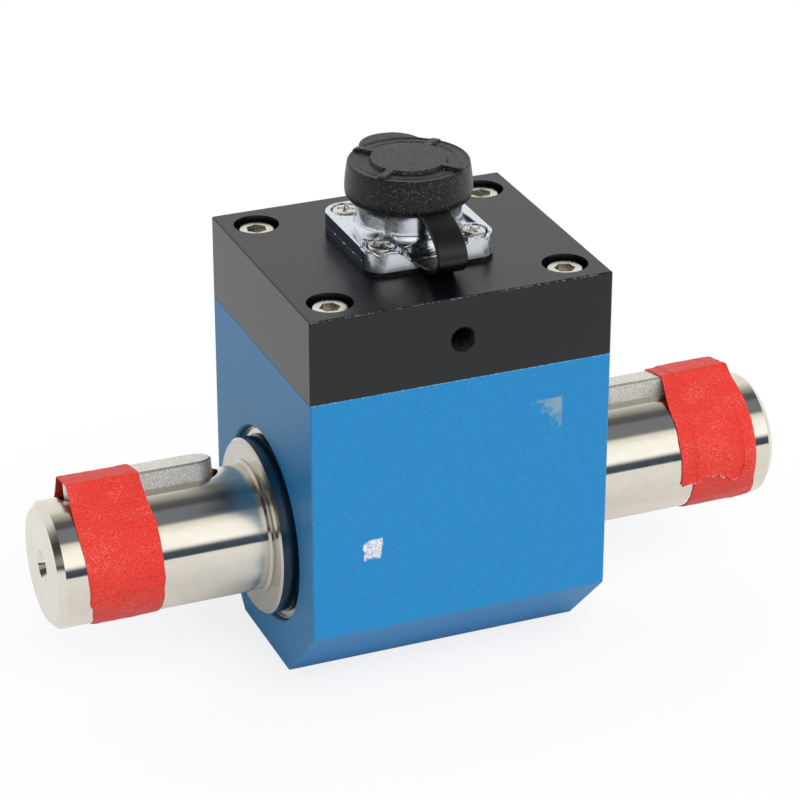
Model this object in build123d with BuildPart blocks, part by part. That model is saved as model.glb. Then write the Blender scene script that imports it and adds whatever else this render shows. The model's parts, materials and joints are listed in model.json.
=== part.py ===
"""Dynamic torque sensor: a keyed shaft in a box housing with a cover, a round connector and its dust cap.

Millimetres. X runs along the shaft, Z is up, and the origin is the centre of the housing's underside.
"""
import os

from build123d import *

os.makedirs("parts", exist_ok=True)

# Clearances
press_gap = 0.02      # drawn gap between pieces that are pressed or screwed together
running_gap = 0.1     # radial play of the rolling elements and the shields
soft_gap = 0.3        # gap between the rubber cap and what it covers

# Housing block
housing_length = 66.0
housing_width = 58.0
housing_height = 69.3
base_chamfer = 15.4
edge_break = 0.3
axis_height = 28.5
bore_lead = 0.35

# Electronics pocket, shared by the housing and the cover
pocket_length = 44.0
pocket_width = 35.0
pocket_corner = 5.0
pocket_depth = 14.0
wire_hole = 8.0

# Cover
cover_height = 18.3
cover_roof = 5.7
side_tap_diameter = 5.0
side_tap_depth = 9.0
side_tap_drop = 9.4       # below the cover's top face
side_tap_lead = 0.3

# Cover screws, M4 with socket heads
cover_screw_span_x = 51.4
cover_screw_span_y = 42.8
cover_screw_diameter = 4.0
cover_screw_length = 20.0
cover_screw_head = 7.4
cover_screw_head_height = 4.0
cover_screw_socket = 3.8
cover_screw_socket_depth = 2.2
cover_screw_sink = 1.0    # head's top below the cover's top
cover_screw_chamfer = 0.35
cover_screw_turn = 30.0   # of the socket, from a flat across X
cover_counterbore = 9.6
cover_clearance_hole = 4.5
tapped_hole_extra = 1.5   # hole left under a screw's tip

# Mounting holes in the underside, M5
base_hole_span_x = 48.0
base_hole_span_y = 17.0
base_hole_diameter = 4.2
base_hole_depth = 6.5

# Thin ball bearings
bearing_bore = 30.0
bearing_outside = 42.0
bearing_width = 7.0
bearing_recess = 1.5      # outer ring's face behind the housing's end face
bearing_ring_wall = 1.9
bearing_corner = 0.3
ball_diameter = 3.4
shield_thickness = 0.35
shield_inset = 0.05

# Shaft
shaft_length = 163.4
shaft_diameter = 27.0
shaft_end_chamfer = 1.4
centre_hole_diameter = 3.15
centre_hole_depth = 7.5
centre_hole_mouth = 6.7
centre_hole_angle = 60.0
shaft_body_diameter = 33.2
gauge_section_diameter = 22.0
gauge_section_length = 18.0
gauge_section_fillet = 2.0

# Collars in front of the bearings
collar_diameter = 37.8
collar_stand = 3.0        # front face ahead of the housing's end face
collar_relief = 0.5
collar_hub_wall = 3.3
collar_rim_chamfer = 0.45
collar_lip_wall = 0.9
collar_lip_height = 0.75
collar_lip_chamfer = 0.5

# Keys and keyways
key_lean = 13.7           # turn of the shaft from keys-up, towards the back
key_width = 8.0
key_height = 7.0
key_length = 32.0
key_left_centre = 59.3    # from the middle of the shaft
key_right_centre = 60.1   # the right key sits further out
key_chamfer = 0.4
key_stand = 3.4           # key's top above the shaft's surface
keyway_side_gap = 0.12
keyway_end_gap = 1.2

# Paper tape around shaft and key
tape_thickness = 0.3
tape_left_start = -75.4
tape_left_end = -59.5
tape_right_under_start = 62.4
tape_right_under_end = 77.1
tape_right_over_start = 59.0
tape_right_over_end = 74.2

# Coils and circuits around the shaft
coil_width = 8.0
coil_centre = 16.5
rotor_coil_wall = 1.6
coil_air_gap = 0.6
sleeve_wall = 0.9
rotor_circuit_wall = 1.2
rotor_circuit_width = 2.6
gauge_length = 6.0
gauge_width = 5.0
gauge_thickness = 0.15

# Circuit board
board_length = 40.0
board_width = 31.0
board_thickness = 1.6
board_corner = 2.0
standoff_height = 5.0
standoff_diameter = 5.0
standoff_stud_length = 4.0
board_hole_span_x = 33.0
board_hole_span_y = 24.0
board_screw_diameter = 2.5
board_screw_head = 4.4
board_screw_head_height = 1.5
board_screw_length = 5.0
controller_side = 10.0
amplifier_length = 5.0
amplifier_width = 4.0
amplifier_spacing = 13.0
header_length = 15.0
header_width = 3.0
controller_place = (-9.0, 4.0)
amplifier_x = 6.0
header_place = (0.0, -11.5)
chip_height = 1.6

# Connector
flange_side = 28.6
flange_land_height = 3.6
flange_pad_rise = 0.8
flange_edge_round = 0.5
flange_scoop_radius = 3.3
flange_scoop_depth = 1.9
connector_screw_span = 20.0
connector_screw_diameter = 3.0
connector_screw_length = 7.0
connector_screw_head = 5.3
connector_screw_dome = 0.45
connector_screw_slot = 0.6
connector_screw_slot_length = 3.4
connector_screw_slot_depth = 0.6
connector_recess = 6.1
connector_recess_depth = 0.9    # the heads stand as high as their recesses are deep
neck_diameter = 22.0
neck_foot_fillet = 2.4
thread_diameter = 23.0
thread_start = 5.7        # above the flange's pads
neck_top = 11.3           # above the flange's pads
thread_chamfer = 0.8
socket_diameter = 18.6
socket_depth = 9.0
spigot_diameter = 17.2    # through the cover
spigot_length = 6.0
insert_diameter = 14.6
insert_tail = 12.0        # below the cover's top face
insert_face_height = 1.8
contact_diameter = 1.0
contact_length = 27.0
contact_stand = 2.4
contact_tip = 0.3
contact_circle = 10.6
contact_count = 8
gasket_thickness = 0.9

# Dust cap
cap_diameter = 26.5
cap_top_diameter = 25.2
cap_bottom_diameter = 25.6
cap_height = 7.9
cap_belly = 2.2           # height of the widest place above the bottom
cap_foot_slope = 0.5      # sideways for each unit of rise, at the bottom and at the top
cap_crown_slope = -0.22
cap_skirt_overlap = 5.8   # skirt reaches this far below the neck's top
cap_edge_round = 0.6
cap_disc_diameter = 16.0
cap_disc_rise = 0.55
cap_ring_diameter = 21.6
cap_ring_width = 0.7
cap_ring_rise = 0.25
cap_rib_count = 4
cap_rib_angle = 40.0
cap_rib_width = 1.6
cap_tab_radius = 6.8
cap_tab_reach = 9.2
cap_tab_thickness = 1.7
cap_lug_depth = 1.5
cap_lug_height = 2.4

# Strap between cap and gasket
strap_width = 6.4
strap_thickness = 1.3
strap_run = 16.6          # it lies on the cover this far out from the connector's middle
strap_reach = 22.8
strap_belly = 5.6         # height of its outermost place above the cover
strap_end_rise = 0.3      # for each unit of run, where it meets the lug

# Heights worked out from the sizes above
cover_base = housing_height
cover_top = housing_height + cover_height
pocket_floor = housing_height - pocket_depth
flange_base = cover_top + gasket_thickness
land_top = flange_base + flange_land_height
pad_top = land_top + flange_pad_rise
neck_rim = pad_top + neck_top
cap_bottom = neck_rim - cap_skirt_overlap
cap_roof_under = neck_rim + soft_gap
cap_top = cap_bottom + cap_height

# Connector's corner pads share their centres with the screws and the flange's corners
flange_corner = (flange_side - connector_screw_span) / 2
neck_radius = neck_diameter / 2
thread_radius = thread_diameter / 2
socket_floor = neck_rim - socket_depth
insert_face = socket_floor + insert_face_height
insert_base = cover_top - insert_tail
cap_inner_radius = thread_radius + soft_gap
lug_face = -cap_diameter / 2 - cap_lug_depth

# Places along the shaft
half_housing = housing_length / 2
bearing_face = half_housing - bearing_recess
bearing_back = bearing_face - bearing_width
half_shaft = shaft_length / 2
collar_front = half_housing + collar_stand
gauge_half = gauge_section_length / 2

# Radii about the shaft's axis
shaft_radius = shaft_diameter / 2
seat_radius = bearing_bore / 2
body_radius = shaft_body_diameter / 2
gauge_radius = gauge_section_diameter / 2
bore_radius = bearing_outside / 2 + press_gap
inner_ring_outer = seat_radius + bearing_ring_wall
outer_ring_inner = bearing_outside / 2 - bearing_ring_wall
pitch_radius = (inner_ring_outer + outer_ring_inner) / 2
race_radius = ball_diameter / 2 + running_gap
key_top_radius = shaft_radius + key_stand
rotor_coil_radius = body_radius + press_gap + rotor_coil_wall
stator_coil_radius = rotor_coil_radius + coil_air_gap
sleeve_radius = bore_radius - press_gap
sleeve_inner = sleeve_radius - sleeve_wall

# Planes. section_plane looks along the shaft; key_plane has its Z through the keys.
axis_plane = Plane(origin=(0, 0, axis_height), x_dir=(1, 0, 0), z_dir=(0, 1, 0))
section_plane = Plane(origin=(0, 0, axis_height), x_dir=(0, 1, 0), z_dir=(1, 0, 0))
key_section_plane = Plane(
    origin=(0, 0, axis_height),
    x_dir=Vector(0, 1, 0).rotate(Axis.X, -key_lean),
    z_dir=(1, 0, 0),
)
key_plane = Plane(
    origin=(0, 0, axis_height), x_dir=(1, 0, 0), z_dir=key_section_plane.y_dir
)
shaft_axis = Axis((0, 0, axis_height), (1, 0, 0))


def write(part, name):
    """Labels a finished piece and writes its STEP file."""
    part.label = name
    export_step(part, f"parts/{name}.step")


def sides():
    """Gives each end of the sensor: its name and the sign of X there."""
    return (("left", -1), ("right", 1))


def turned_ring(start, end, inner, outer):
    """A plain ring about the shaft's axis between two places along X."""
    with BuildPart() as ring:
        with BuildSketch(section_plane.offset(start)):
            Circle(outer)
            Circle(inner, mode=Mode.SUBTRACT)
        extrude(amount=end - start)
    return ring.part


# Housing
with BuildPart() as housing:
    with BuildSketch(Plane.YZ) as block:
        with Locations((0, housing_height / 2)):
            Rectangle(housing_width, housing_height)
        chamfer(block.vertices().group_by(Axis.Y)[0], base_chamfer)
    extrude(amount=half_housing, both=True)
    ends = housing.faces().filter_by(Axis.X)
    chamfer(ends.edges(), edge_break)
    with BuildSketch(section_plane):
        Circle(bore_radius)
    extrude(amount=housing_length, both=True, mode=Mode.SUBTRACT)
    mouths = housing.edges().filter_by(GeomType.CIRCLE)
    chamfer(mouths, bore_lead)
    with BuildSketch(Plane.XY.offset(housing_height)):
        RectangleRounded(pocket_length, pocket_width, pocket_corner)
    extrude(amount=-pocket_depth, mode=Mode.SUBTRACT)
    with BuildSketch(Plane.XY.offset(pocket_floor)):
        Circle(wire_hole / 2)
    extrude(amount=axis_height - pocket_floor, mode=Mode.SUBTRACT)
    # Tapped holes for the cover screws
    cover_grip = cover_height - cover_screw_sink - cover_screw_head_height
    with Locations(Location((0, 0, housing_height))):
        with GridLocations(cover_screw_span_x, cover_screw_span_y, 2, 2):
            Hole(
                cover_screw_diameter / 2 + press_gap,
                depth=cover_screw_length - cover_grip + tapped_hole_extra,
            )
    # Tapped holes for the board's standoffs
    with Locations(Location((0, 0, pocket_floor))):
        with GridLocations(board_hole_span_x, board_hole_span_y, 2, 2):
            Hole(
                board_screw_diameter / 2 + press_gap,
                depth=standoff_stud_length + tapped_hole_extra,
            )
    # Tapped mounting holes in the underside
    with BuildSketch(Plane.XY):
        with GridLocations(base_hole_span_x, base_hole_span_y, 2, 2):
            Circle(base_hole_diameter / 2)
    extrude(amount=base_hole_depth, mode=Mode.SUBTRACT)
write(housing.part, "housing")

# Cover
with BuildPart() as top_cover:
    with BuildSketch(Plane.XY.offset(cover_base)):
        Rectangle(housing_length, housing_width)
    extrude(amount=cover_height)
    outer_edges = top_cover.edges().filter_by(Axis.Z) + top_cover.edges().group_by(Axis.Z)[-1]
    chamfer(outer_edges, edge_break)
    with BuildSketch(Plane.XY.offset(cover_base)):
        RectangleRounded(pocket_length, pocket_width, pocket_corner)
    extrude(amount=cover_height - cover_roof, mode=Mode.SUBTRACT)
    with Locations(Location((0, 0, cover_top))):
        Hole(spigot_diameter / 2 + press_gap)
        with GridLocations(cover_screw_span_x, cover_screw_span_y, 2, 2):
            CounterBoreHole(
                cover_clearance_hole / 2,
                cover_counterbore / 2,
                cover_screw_sink + cover_screw_head_height,
            )
        with GridLocations(connector_screw_span, connector_screw_span, 2, 2):
            Hole(connector_screw_diameter / 2 + press_gap)
    front = Plane(
        origin=(0, -housing_width / 2, cover_top - side_tap_drop),
        x_dir=(1, 0, 0),
        z_dir=(0, -1, 0),
    )
    with Locations(front):
        CounterSinkHole(
            side_tap_diameter / 2, side_tap_diameter / 2 + side_tap_lead, depth=side_tap_depth
        )
write(top_cover.part, "top_cover")

# Cover screws: head down to its seat, then the shank, then the hexagon socket
cover_screw_top = cover_top - cover_screw_sink
cover_screw_seat = cover_screw_top - cover_screw_head_height
cover_screw_places = GridLocations(cover_screw_span_x, cover_screw_span_y, 2, 2)
for number, place in enumerate(cover_screw_places, start=1):
    centre = (place.position.X, place.position.Y)
    with BuildPart() as cover_screw:
        with BuildSketch(Plane.XY.offset(cover_screw_seat)):
            with Locations(centre):
                Circle(cover_screw_head / 2)
        extrude(amount=cover_screw_head_height)
        chamfer(cover_screw.edges().group_by(Axis.Z)[-1], cover_screw_chamfer)
        with BuildSketch(Plane.XY.offset(cover_screw_seat)):
            with Locations(centre):
                Circle(cover_screw_diameter / 2)
        extrude(amount=-cover_screw_length)
        with BuildSketch(Plane.XY.offset(cover_screw_top)):
            with Locations(centre):
                RegularPolygon(
                    cover_screw_socket / 2, 6, major_radius=False, rotation=cover_screw_turn
                )
        extrude(amount=-cover_screw_socket_depth, mode=Mode.SUBTRACT)
    write(cover_screw.part, f"cover_screw_{number}")

# Bearings: the race is a groove of round section about the pitch circle
for side, sign in sides():
    middle = sign * (bearing_face - bearing_width / 2)
    start = middle - bearing_width / 2
    end = middle + bearing_width / 2
    with BuildPart() as outer_ring:
        with BuildSketch(axis_plane) as outer_section:
            with Locations((middle, -bearing_outside / 2 + bearing_ring_wall / 2)):
                Rectangle(bearing_width, bearing_ring_wall)
            chamfer(outer_section.vertices().group_by(Axis.Y)[0], bearing_corner)
            with Locations((middle, -pitch_radius)):
                Circle(race_radius, mode=Mode.SUBTRACT)
        revolve(axis=shaft_axis)
    write(outer_ring.part, f"bearing_outer_ring_{side}")

    with BuildPart() as inner_ring:
        with BuildSketch(axis_plane) as inner_section:
            with Locations((middle, -(seat_radius + press_gap + inner_ring_outer) / 2)):
                Rectangle(bearing_width, inner_ring_outer - seat_radius - press_gap)
            with Locations((middle, -pitch_radius)):
                Circle(race_radius, mode=Mode.SUBTRACT)
        revolve(axis=shaft_axis)
    write(inner_ring.part, f"bearing_inner_ring_{side}")

    with BuildPart() as ball_train:
        with BuildSketch(axis_plane):
            with Locations((middle, -pitch_radius)):
                Circle(ball_diameter / 2)
        revolve(axis=shaft_axis)
    write(ball_train.part, f"ball_train_{side}")

    with BuildPart() as shields:
        for face in (start + shield_inset, end - shield_inset - shield_thickness):
            with BuildSketch(section_plane.offset(face)):
                Circle(outer_ring_inner - press_gap)
                Circle(inner_ring_outer + running_gap, mode=Mode.SUBTRACT)
            extrude(amount=shield_thickness)
    write(shields.part, f"bearing_shields_{side}")

# Shaft: one half profile turned about its axis and mirrored to the other end
with BuildPart() as shaft:
    with BuildSketch(axis_plane):
        with BuildLine():
            Polyline(
                (0, 0),
                (0, gauge_radius),
                (gauge_half, gauge_radius),
                (gauge_half, body_radius),
                (bearing_back, body_radius),
                (bearing_back, seat_radius),
                (bearing_face, seat_radius),
                (bearing_face, shaft_radius),
                (half_shaft, shaft_radius),
                (half_shaft, 0),
                close=True,
            )
        make_face()
    revolve(axis=shaft_axis)
    end_edges = shaft.edges().group_by(Axis.X)[-1]
    chamfer(end_edges, shaft_end_chamfer)
    roots = shaft.edges().filter_by(GeomType.CIRCLE).filter_by_position(
        Axis.X, gauge_half, gauge_half
    )
    fillet(roots.sort_by(SortBy.RADIUS)[0], gauge_section_fillet)
    end_face = Plane(origin=(half_shaft, 0, axis_height), x_dir=(0, 1, 0), z_dir=(1, 0, 0))
    with Locations(end_face):
        CounterSinkHole(
            centre_hole_diameter / 2,
            centre_hole_mouth / 2,
            depth=centre_hole_depth,
            counter_sink_angle=centre_hole_angle,
        )
    mirror(about=Plane.YZ)
    # Keyways, cut by an end mill
    with BuildSketch(key_plane.offset(key_top_radius)):
        with Locations((-key_left_centre, 0), (key_right_centre, 0)):
            SlotOverall(key_length + 2 * keyway_end_gap, key_width + 2 * keyway_side_gap)
    extrude(amount=-key_height, mode=Mode.SUBTRACT)
write(shaft.part, "shaft")

# Keys with round ends and broken edges
for side, key_place in (("left", -key_left_centre), ("right", key_right_centre)):
    with BuildPart() as key:
        with BuildSketch(key_plane.offset(key_top_radius - key_height)):
            with Locations((key_place, 0)):
                SlotOverall(key_length, key_width)
        extrude(amount=key_height)
        chamfer(key.faces().sort_by(Axis.Z)[-1].edges(), key_chamfer)
    write(key.part, f"key_{side}")


def tape_outline(gap):
    """The line a tape takes around the shaft and over the key, standing off both by a gap."""
    Circle(shaft_radius)
    with Locations((0, key_top_radius / 2)):
        Rectangle(key_width, key_top_radius)
    make_hull()
    offset(amount=gap, kind=Kind.INTERSECTION)


def tape_turn(start, end, inner_gap):
    """One turn of tape between two places along the shaft."""
    with BuildPart() as turn:
        with BuildSketch(key_section_plane.offset(start)):
            with BuildSketch():
                tape_outline(inner_gap + tape_thickness)
            with BuildSketch(mode=Mode.SUBTRACT):
                tape_outline(inner_gap)
        extrude(amount=end - start)
    return turn.part


write(tape_turn(tape_left_start, tape_left_end, press_gap), "tape_left")

with BuildPart() as tape_right:
    add(tape_turn(tape_right_under_start, tape_right_under_end, press_gap))
    add(tape_turn(tape_right_over_start, tape_right_over_end, press_gap + tape_thickness))
write(tape_right.part, "tape_right")

# Collars: a flange with a low lip around the shaft and a hub that bears on the inner ring
for side, sign in sides():
    with BuildPart() as collar:
        with BuildSketch(axis_plane):
            with BuildLine():
                collar_bore = shaft_radius + press_gap
                lip = shaft_radius + collar_lip_wall
                hub = shaft_radius + collar_hub_wall
                rim = collar_diameter / 2
                lip_front = collar_front + collar_lip_height
                Polyline(
                    (sign * bearing_face, collar_bore),
                    (sign * bearing_face, hub),
                    (sign * (bearing_face + collar_relief), hub),
                    (sign * (bearing_face + collar_relief), rim),
                    (sign * (collar_front - collar_rim_chamfer), rim),
                    (sign * collar_front, rim - collar_rim_chamfer),
                    (sign * collar_front, lip),
                    (sign * (lip_front - collar_lip_chamfer), lip),
                    (sign * lip_front, lip - collar_lip_chamfer),
                    (sign * lip_front, collar_bore),
                    close=True,
                )
            make_face()
        revolve(axis=shaft_axis)
    write(collar.part, f"collar_{side}")

# Sleeve between the outer rings, with a window for the coil leads
with BuildPart() as stator_sleeve:
    with BuildSketch(section_plane):
        Circle(sleeve_radius)
        Circle(sleeve_inner, mode=Mode.SUBTRACT)
    extrude(amount=bearing_back, both=True)
    with BuildSketch(Plane.XY.offset(axis_height)):
        Circle(wire_hole / 2)
    extrude(amount=bore_radius, mode=Mode.SUBTRACT)
write(stator_sleeve.part, "stator_sleeve")

# Coils: the turning one sits on the shaft, the fixed one in the sleeve around it
for side, sign in sides():
    coil_start = sign * coil_centre - coil_width / 2
    coil_end = coil_start + coil_width
    write(
        turned_ring(coil_start, coil_end, body_radius + press_gap, rotor_coil_radius),
        f"rotor_coil_{side}",
    )
    write(
        turned_ring(coil_start, coil_end, stator_coil_radius, sleeve_inner - press_gap),
        f"stator_coil_{side}",
    )

# Ring circuit on the shaft between the right coil and the gauge section
circuit_start = gauge_half + press_gap
write(
    turned_ring(
        circuit_start,
        circuit_start + rotor_circuit_width,
        body_radius + press_gap,
        body_radius + press_gap + rotor_circuit_wall,
    ),
    "rotor_circuit",
)

# Strain gauges: four thin curved patches around the narrow section
with BuildPart() as strain_gauges:
    with BuildSketch(key_section_plane.offset(-gauge_length / 2)):
        Circle(gauge_radius + press_gap + gauge_thickness)
        Circle(gauge_radius + press_gap, mode=Mode.SUBTRACT)
        with BuildSketch(mode=Mode.INTERSECT):
            Rectangle(gauge_section_diameter * 2, gauge_width)
            Rectangle(gauge_width, gauge_section_diameter * 2)
    extrude(amount=gauge_length)
write(strain_gauges.part, "strain_gauges")

# Circuit board on its standoffs in the pocket
board_base = pocket_floor + standoff_height
board_top = board_base + board_thickness
with BuildPart() as circuit_board:
    with BuildSketch(Plane.XY.offset(board_base)):
        RectangleRounded(board_length, board_width, board_corner)
        with GridLocations(board_hole_span_x, board_hole_span_y, 2, 2):
            Circle(board_screw_diameter / 2 + press_gap, mode=Mode.SUBTRACT)
    extrude(amount=board_thickness)
write(circuit_board.part, "circuit_board")

with BuildPart() as board_standoffs:
    with BuildSketch(Plane.XY.offset(pocket_floor)):
        with GridLocations(board_hole_span_x, board_hole_span_y, 2, 2):
            RegularPolygon(standoff_diameter / 2, 6, major_radius=False)
    extrude(amount=standoff_height)
    with BuildSketch(Plane.XY.offset(pocket_floor)):
        with GridLocations(board_hole_span_x, board_hole_span_y, 2, 2):
            Circle(board_screw_diameter / 2)
    extrude(amount=-standoff_stud_length)
    with Locations(Location((0, 0, board_base))):
        with GridLocations(board_hole_span_x, board_hole_span_y, 2, 2):
            Hole(
                board_screw_diameter / 2 + press_gap,
                depth=board_screw_length - board_thickness + press_gap,
            )
write(board_standoffs.part, "board_standoffs")

with BuildPart() as board_screws:
    with BuildSketch(Plane.XY.offset(board_top)):
        with GridLocations(board_hole_span_x, board_hole_span_y, 2, 2):
            Circle(board_screw_head / 2)
    extrude(amount=board_screw_head_height)
    with BuildSketch(Plane.XY.offset(board_top)):
        with GridLocations(board_hole_span_x, board_hole_span_y, 2, 2):
            Circle(board_screw_diameter / 2)
    extrude(amount=-board_screw_length)
write(board_screws.part, "board_screws")

# Chips and the lead header on the board, one solid each
with BuildPart() as board_components:
    with BuildSketch(Plane.XY.offset(board_top)):
        with Locations(controller_place):
            Rectangle(controller_side, controller_side)
        with Locations((amplifier_x, amplifier_spacing / 2), (amplifier_x, -amplifier_spacing / 2)):
            Rectangle(amplifier_length, amplifier_width)
        with Locations(header_place):
            Rectangle(header_length, header_width)
    extrude(amount=chip_height)
write(board_components.part, "board_components")

# Gasket under the flange
with BuildPart() as connector_gasket:
    with BuildSketch(Plane.XY.offset(cover_top)):
        RectangleRounded(flange_side, flange_side, flange_corner)
        Circle(spigot_diameter / 2 + press_gap, mode=Mode.SUBTRACT)
        with GridLocations(connector_screw_span, connector_screw_span, 2, 2):
            Circle(connector_screw_diameter / 2 + press_gap, mode=Mode.SUBTRACT)
    extrude(amount=gasket_thickness)
write(connector_gasket.part, "connector_gasket")

# Connector shell: cast flange with raised pads, scooped front and back, and a round neck
with BuildPart() as connector_shell:
    with BuildSketch(Plane.XY.offset(flange_base)):
        RectangleRounded(flange_side, flange_side, flange_corner)
    extrude(amount=flange_land_height)
    fillet(connector_shell.edges().group_by(Axis.Z)[-1], flange_edge_round)
    with BuildSketch(Plane.XY.offset(flange_base)):
        with GridLocations(connector_screw_span, connector_screw_span, 2, 2):
            Circle(flange_corner)
    extrude(amount=flange_land_height + flange_pad_rise)
    # Neck, thread and the foot that flares into the flange
    with BuildSketch(Plane.XZ) as neck_section:
        with BuildLine():
            Polyline(
                (0, flange_base),
                (neck_radius + neck_foot_fillet, flange_base),
                (neck_radius + neck_foot_fillet, land_top),
            )
            RadiusArc(
                (neck_radius + neck_foot_fillet, land_top),
                (neck_radius, land_top + neck_foot_fillet),
                neck_foot_fillet,
            )
            Polyline(
                (neck_radius, land_top + neck_foot_fillet),
                (neck_radius, pad_top + thread_start),
                (thread_radius, pad_top + thread_start),
                (thread_radius, neck_rim - thread_chamfer),
                (thread_radius - thread_chamfer, neck_rim),
                (0, neck_rim),
                (0, flange_base),
            )
        make_face()
    revolve(axis=Axis.Z)
    # Scoops between the pads, in front of the neck and behind it
    scoop_plane = Plane(origin=(0, 0, land_top), x_dir=(0, 1, 0), z_dir=(1, 0, 0))
    scoop_rise = flange_scoop_radius - flange_scoop_depth
    with BuildSketch(scoop_plane):
        with Locations((-flange_side / 2, scoop_rise), (flange_side / 2, scoop_rise)):
            Circle(flange_scoop_radius)
    extrude(
        amount=connector_screw_span / 2 - flange_corner, both=True, mode=Mode.SUBTRACT
    )
    with BuildSketch(Plane.XY.offset(flange_base)):
        Circle(spigot_diameter / 2)
    extrude(amount=-spigot_length)
    # Bore for the insert, socket for the plug, and the screw recesses
    with Locations(Location((0, 0, neck_rim))):
        CounterBoreHole(insert_diameter / 2 + press_gap, socket_diameter / 2, socket_depth)
    with Locations(Location((0, 0, pad_top))):
        with GridLocations(connector_screw_span, connector_screw_span, 2, 2):
            CounterBoreHole(
                connector_screw_diameter / 2 + press_gap,
                connector_recess / 2,
                connector_recess_depth,
            )
write(connector_shell.part, "connector_shell")

# Insert: a disc on the socket's floor and a stem that reaches into the pocket
with BuildPart() as connector_insert:
    with BuildSketch(Plane.XY.offset(insert_base)):
        Circle(insert_diameter / 2)
    extrude(amount=socket_floor - insert_base)
    with BuildSketch(Plane.XY.offset(socket_floor)):
        Circle(socket_diameter / 2 - press_gap)
    extrude(amount=insert_face_height)
    with Locations(Location((0, 0, insert_face))):
        with PolarLocations(contact_circle / 2, contact_count):
            Hole(contact_diameter / 2 + press_gap)
        Hole(contact_diameter / 2 + press_gap)
write(connector_insert.part, "connector_insert")

with BuildPart() as contact_pins:
    with BuildSketch(Plane.XY.offset(insert_face + contact_stand)):
        with PolarLocations(contact_circle / 2, contact_count):
            Circle(contact_diameter / 2)
        Circle(contact_diameter / 2)
    extrude(amount=-contact_length)
    chamfer(contact_pins.edges().group_by(Axis.Z)[-1], contact_tip)
write(contact_pins.part, "contact_pins")

# Flange screws: low domed heads with a cross slot
flange_screw_seat = pad_top - connector_recess_depth
connector_screw_places = GridLocations(connector_screw_span, connector_screw_span, 2, 2)
for number, place in enumerate(connector_screw_places, start=1):
    centre = (place.position.X, place.position.Y)
    with BuildPart() as flange_screw:
        with BuildSketch(Plane.XZ.offset(-centre[1])):
            with BuildLine():
                axis_x = centre[0]
                head_x = axis_x + connector_screw_head / 2
                shank_x = axis_x + connector_screw_diameter / 2
                tip = flange_screw_seat - connector_screw_length
                crown = pad_top + connector_screw_dome
                Polyline(
                    (axis_x, crown),
                    (axis_x, tip),
                    (shank_x, tip),
                    (shank_x, flange_screw_seat),
                    (head_x, flange_screw_seat),
                    (head_x, pad_top),
                )
                TangentArc((axis_x, crown), (head_x, pad_top), tangent=(1, 0))
            make_face()
        revolve(axis=Axis((axis_x, centre[1], 0), (0, 0, 1)))
        with BuildSketch(Plane.XY.offset(crown)):
            with Locations(centre):
                Rectangle(connector_screw_slot_length, connector_screw_slot)
                Rectangle(connector_screw_slot, connector_screw_slot_length)
        extrude(amount=-connector_screw_slot_depth - connector_screw_dome, mode=Mode.SUBTRACT)
    write(flange_screw.part, f"connector_screw_{number}")

# Dust cap: a bellied skirt, a roof with a raised disc and ribs, a pull tab behind, a strap lug in front
with BuildPart() as dust_cap:
    with BuildSketch(Plane.XZ) as cap_section:
        with BuildLine():
            belly = (cap_diameter / 2, cap_bottom + cap_belly)
            foot = (cap_bottom_diameter / 2, cap_bottom)
            crown = (cap_top_diameter / 2, cap_top)
            Spline(foot, belly, crown, tangents=((cap_foot_slope, 1), (cap_crown_slope, 1)))
            Polyline(
                crown,
                (0, cap_top),
                (0, cap_roof_under),
                (cap_inner_radius, cap_roof_under),
                (cap_inner_radius, cap_bottom),
                foot,
            )
        make_face()
    revolve(axis=Axis.Z)
    skirt_edges = dust_cap.edges().filter_by(GeomType.CIRCLE)
    fillet(skirt_edges.group_by(Axis.Z)[-1], cap_edge_round)
    # Pull tab
    with BuildSketch(Plane.XY.offset(cap_top)):
        with Locations((0, cap_tab_reach)):
            Circle(cap_tab_radius)
        Circle(cap_inner_radius, mode=Mode.SUBTRACT)
    extrude(amount=-cap_tab_thickness)
    # Lug for the strap
    with BuildSketch(Plane.XY.offset(cap_bottom)):
        with Locations((0, -cap_diameter / 2)):
            Rectangle(strap_width, 2 * cap_lug_depth)
        Circle(cap_inner_radius, mode=Mode.SUBTRACT)
    extrude(amount=cap_lug_height)
    # Raised disc, thin ring and ribs on the roof
    with BuildSketch(Plane.XY.offset(cap_top)):
        Circle(cap_disc_diameter / 2)
    extrude(amount=cap_disc_rise)
    with BuildSketch(Plane.XY.offset(cap_top)):
        Circle(cap_ring_diameter / 2)
        Circle(cap_ring_diameter / 2 - cap_ring_width, mode=Mode.SUBTRACT)
    extrude(amount=cap_ring_rise)
    with BuildSketch(Plane.XY.offset(cap_top)):
        with PolarLocations(0, cap_rib_count, start_angle=cap_rib_angle):
            with Locations((cap_top_diameter / 4, 0)):
                Rectangle(cap_top_diameter / 2 - cap_edge_round, cap_rib_width)
    extrude(amount=cap_disc_rise)
write(dust_cap.part, "dust_cap")

# Strap: from the gasket it runs out over the cover, bows up past the flange and ends at the cap's lug
with BuildPart() as cap_strap:
    with BuildSketch(Plane.YZ):
        with BuildLine():
            half = strap_thickness / 2
            low = (0, cover_top + half)
            turn = (-strap_run, cover_top + half)
            rise = (-strap_reach, cover_top + strap_belly)
            high = (lug_face, cap_bottom + cap_lug_height / 2)
            Line(low, turn)
            Spline(turn, rise, tangents=((-1, 0), (0, 1)))
            Spline(rise, high, tangents=((0, 1), (1, strap_end_rise)))
        trace(line_width=strap_thickness)
        with Locations((0, cover_top)):
            Rectangle(flange_side + 2 * press_gap, cap_bottom - cover_top, mode=Mode.SUBTRACT)
        with Locations((0, cap_bottom)):
            Rectangle(-2 * lug_face + 2 * soft_gap, cap_height, mode=Mode.SUBTRACT)
    extrude(amount=strap_width / 2, both=True)
write(cap_strap.part, "cap_strap")
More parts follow.
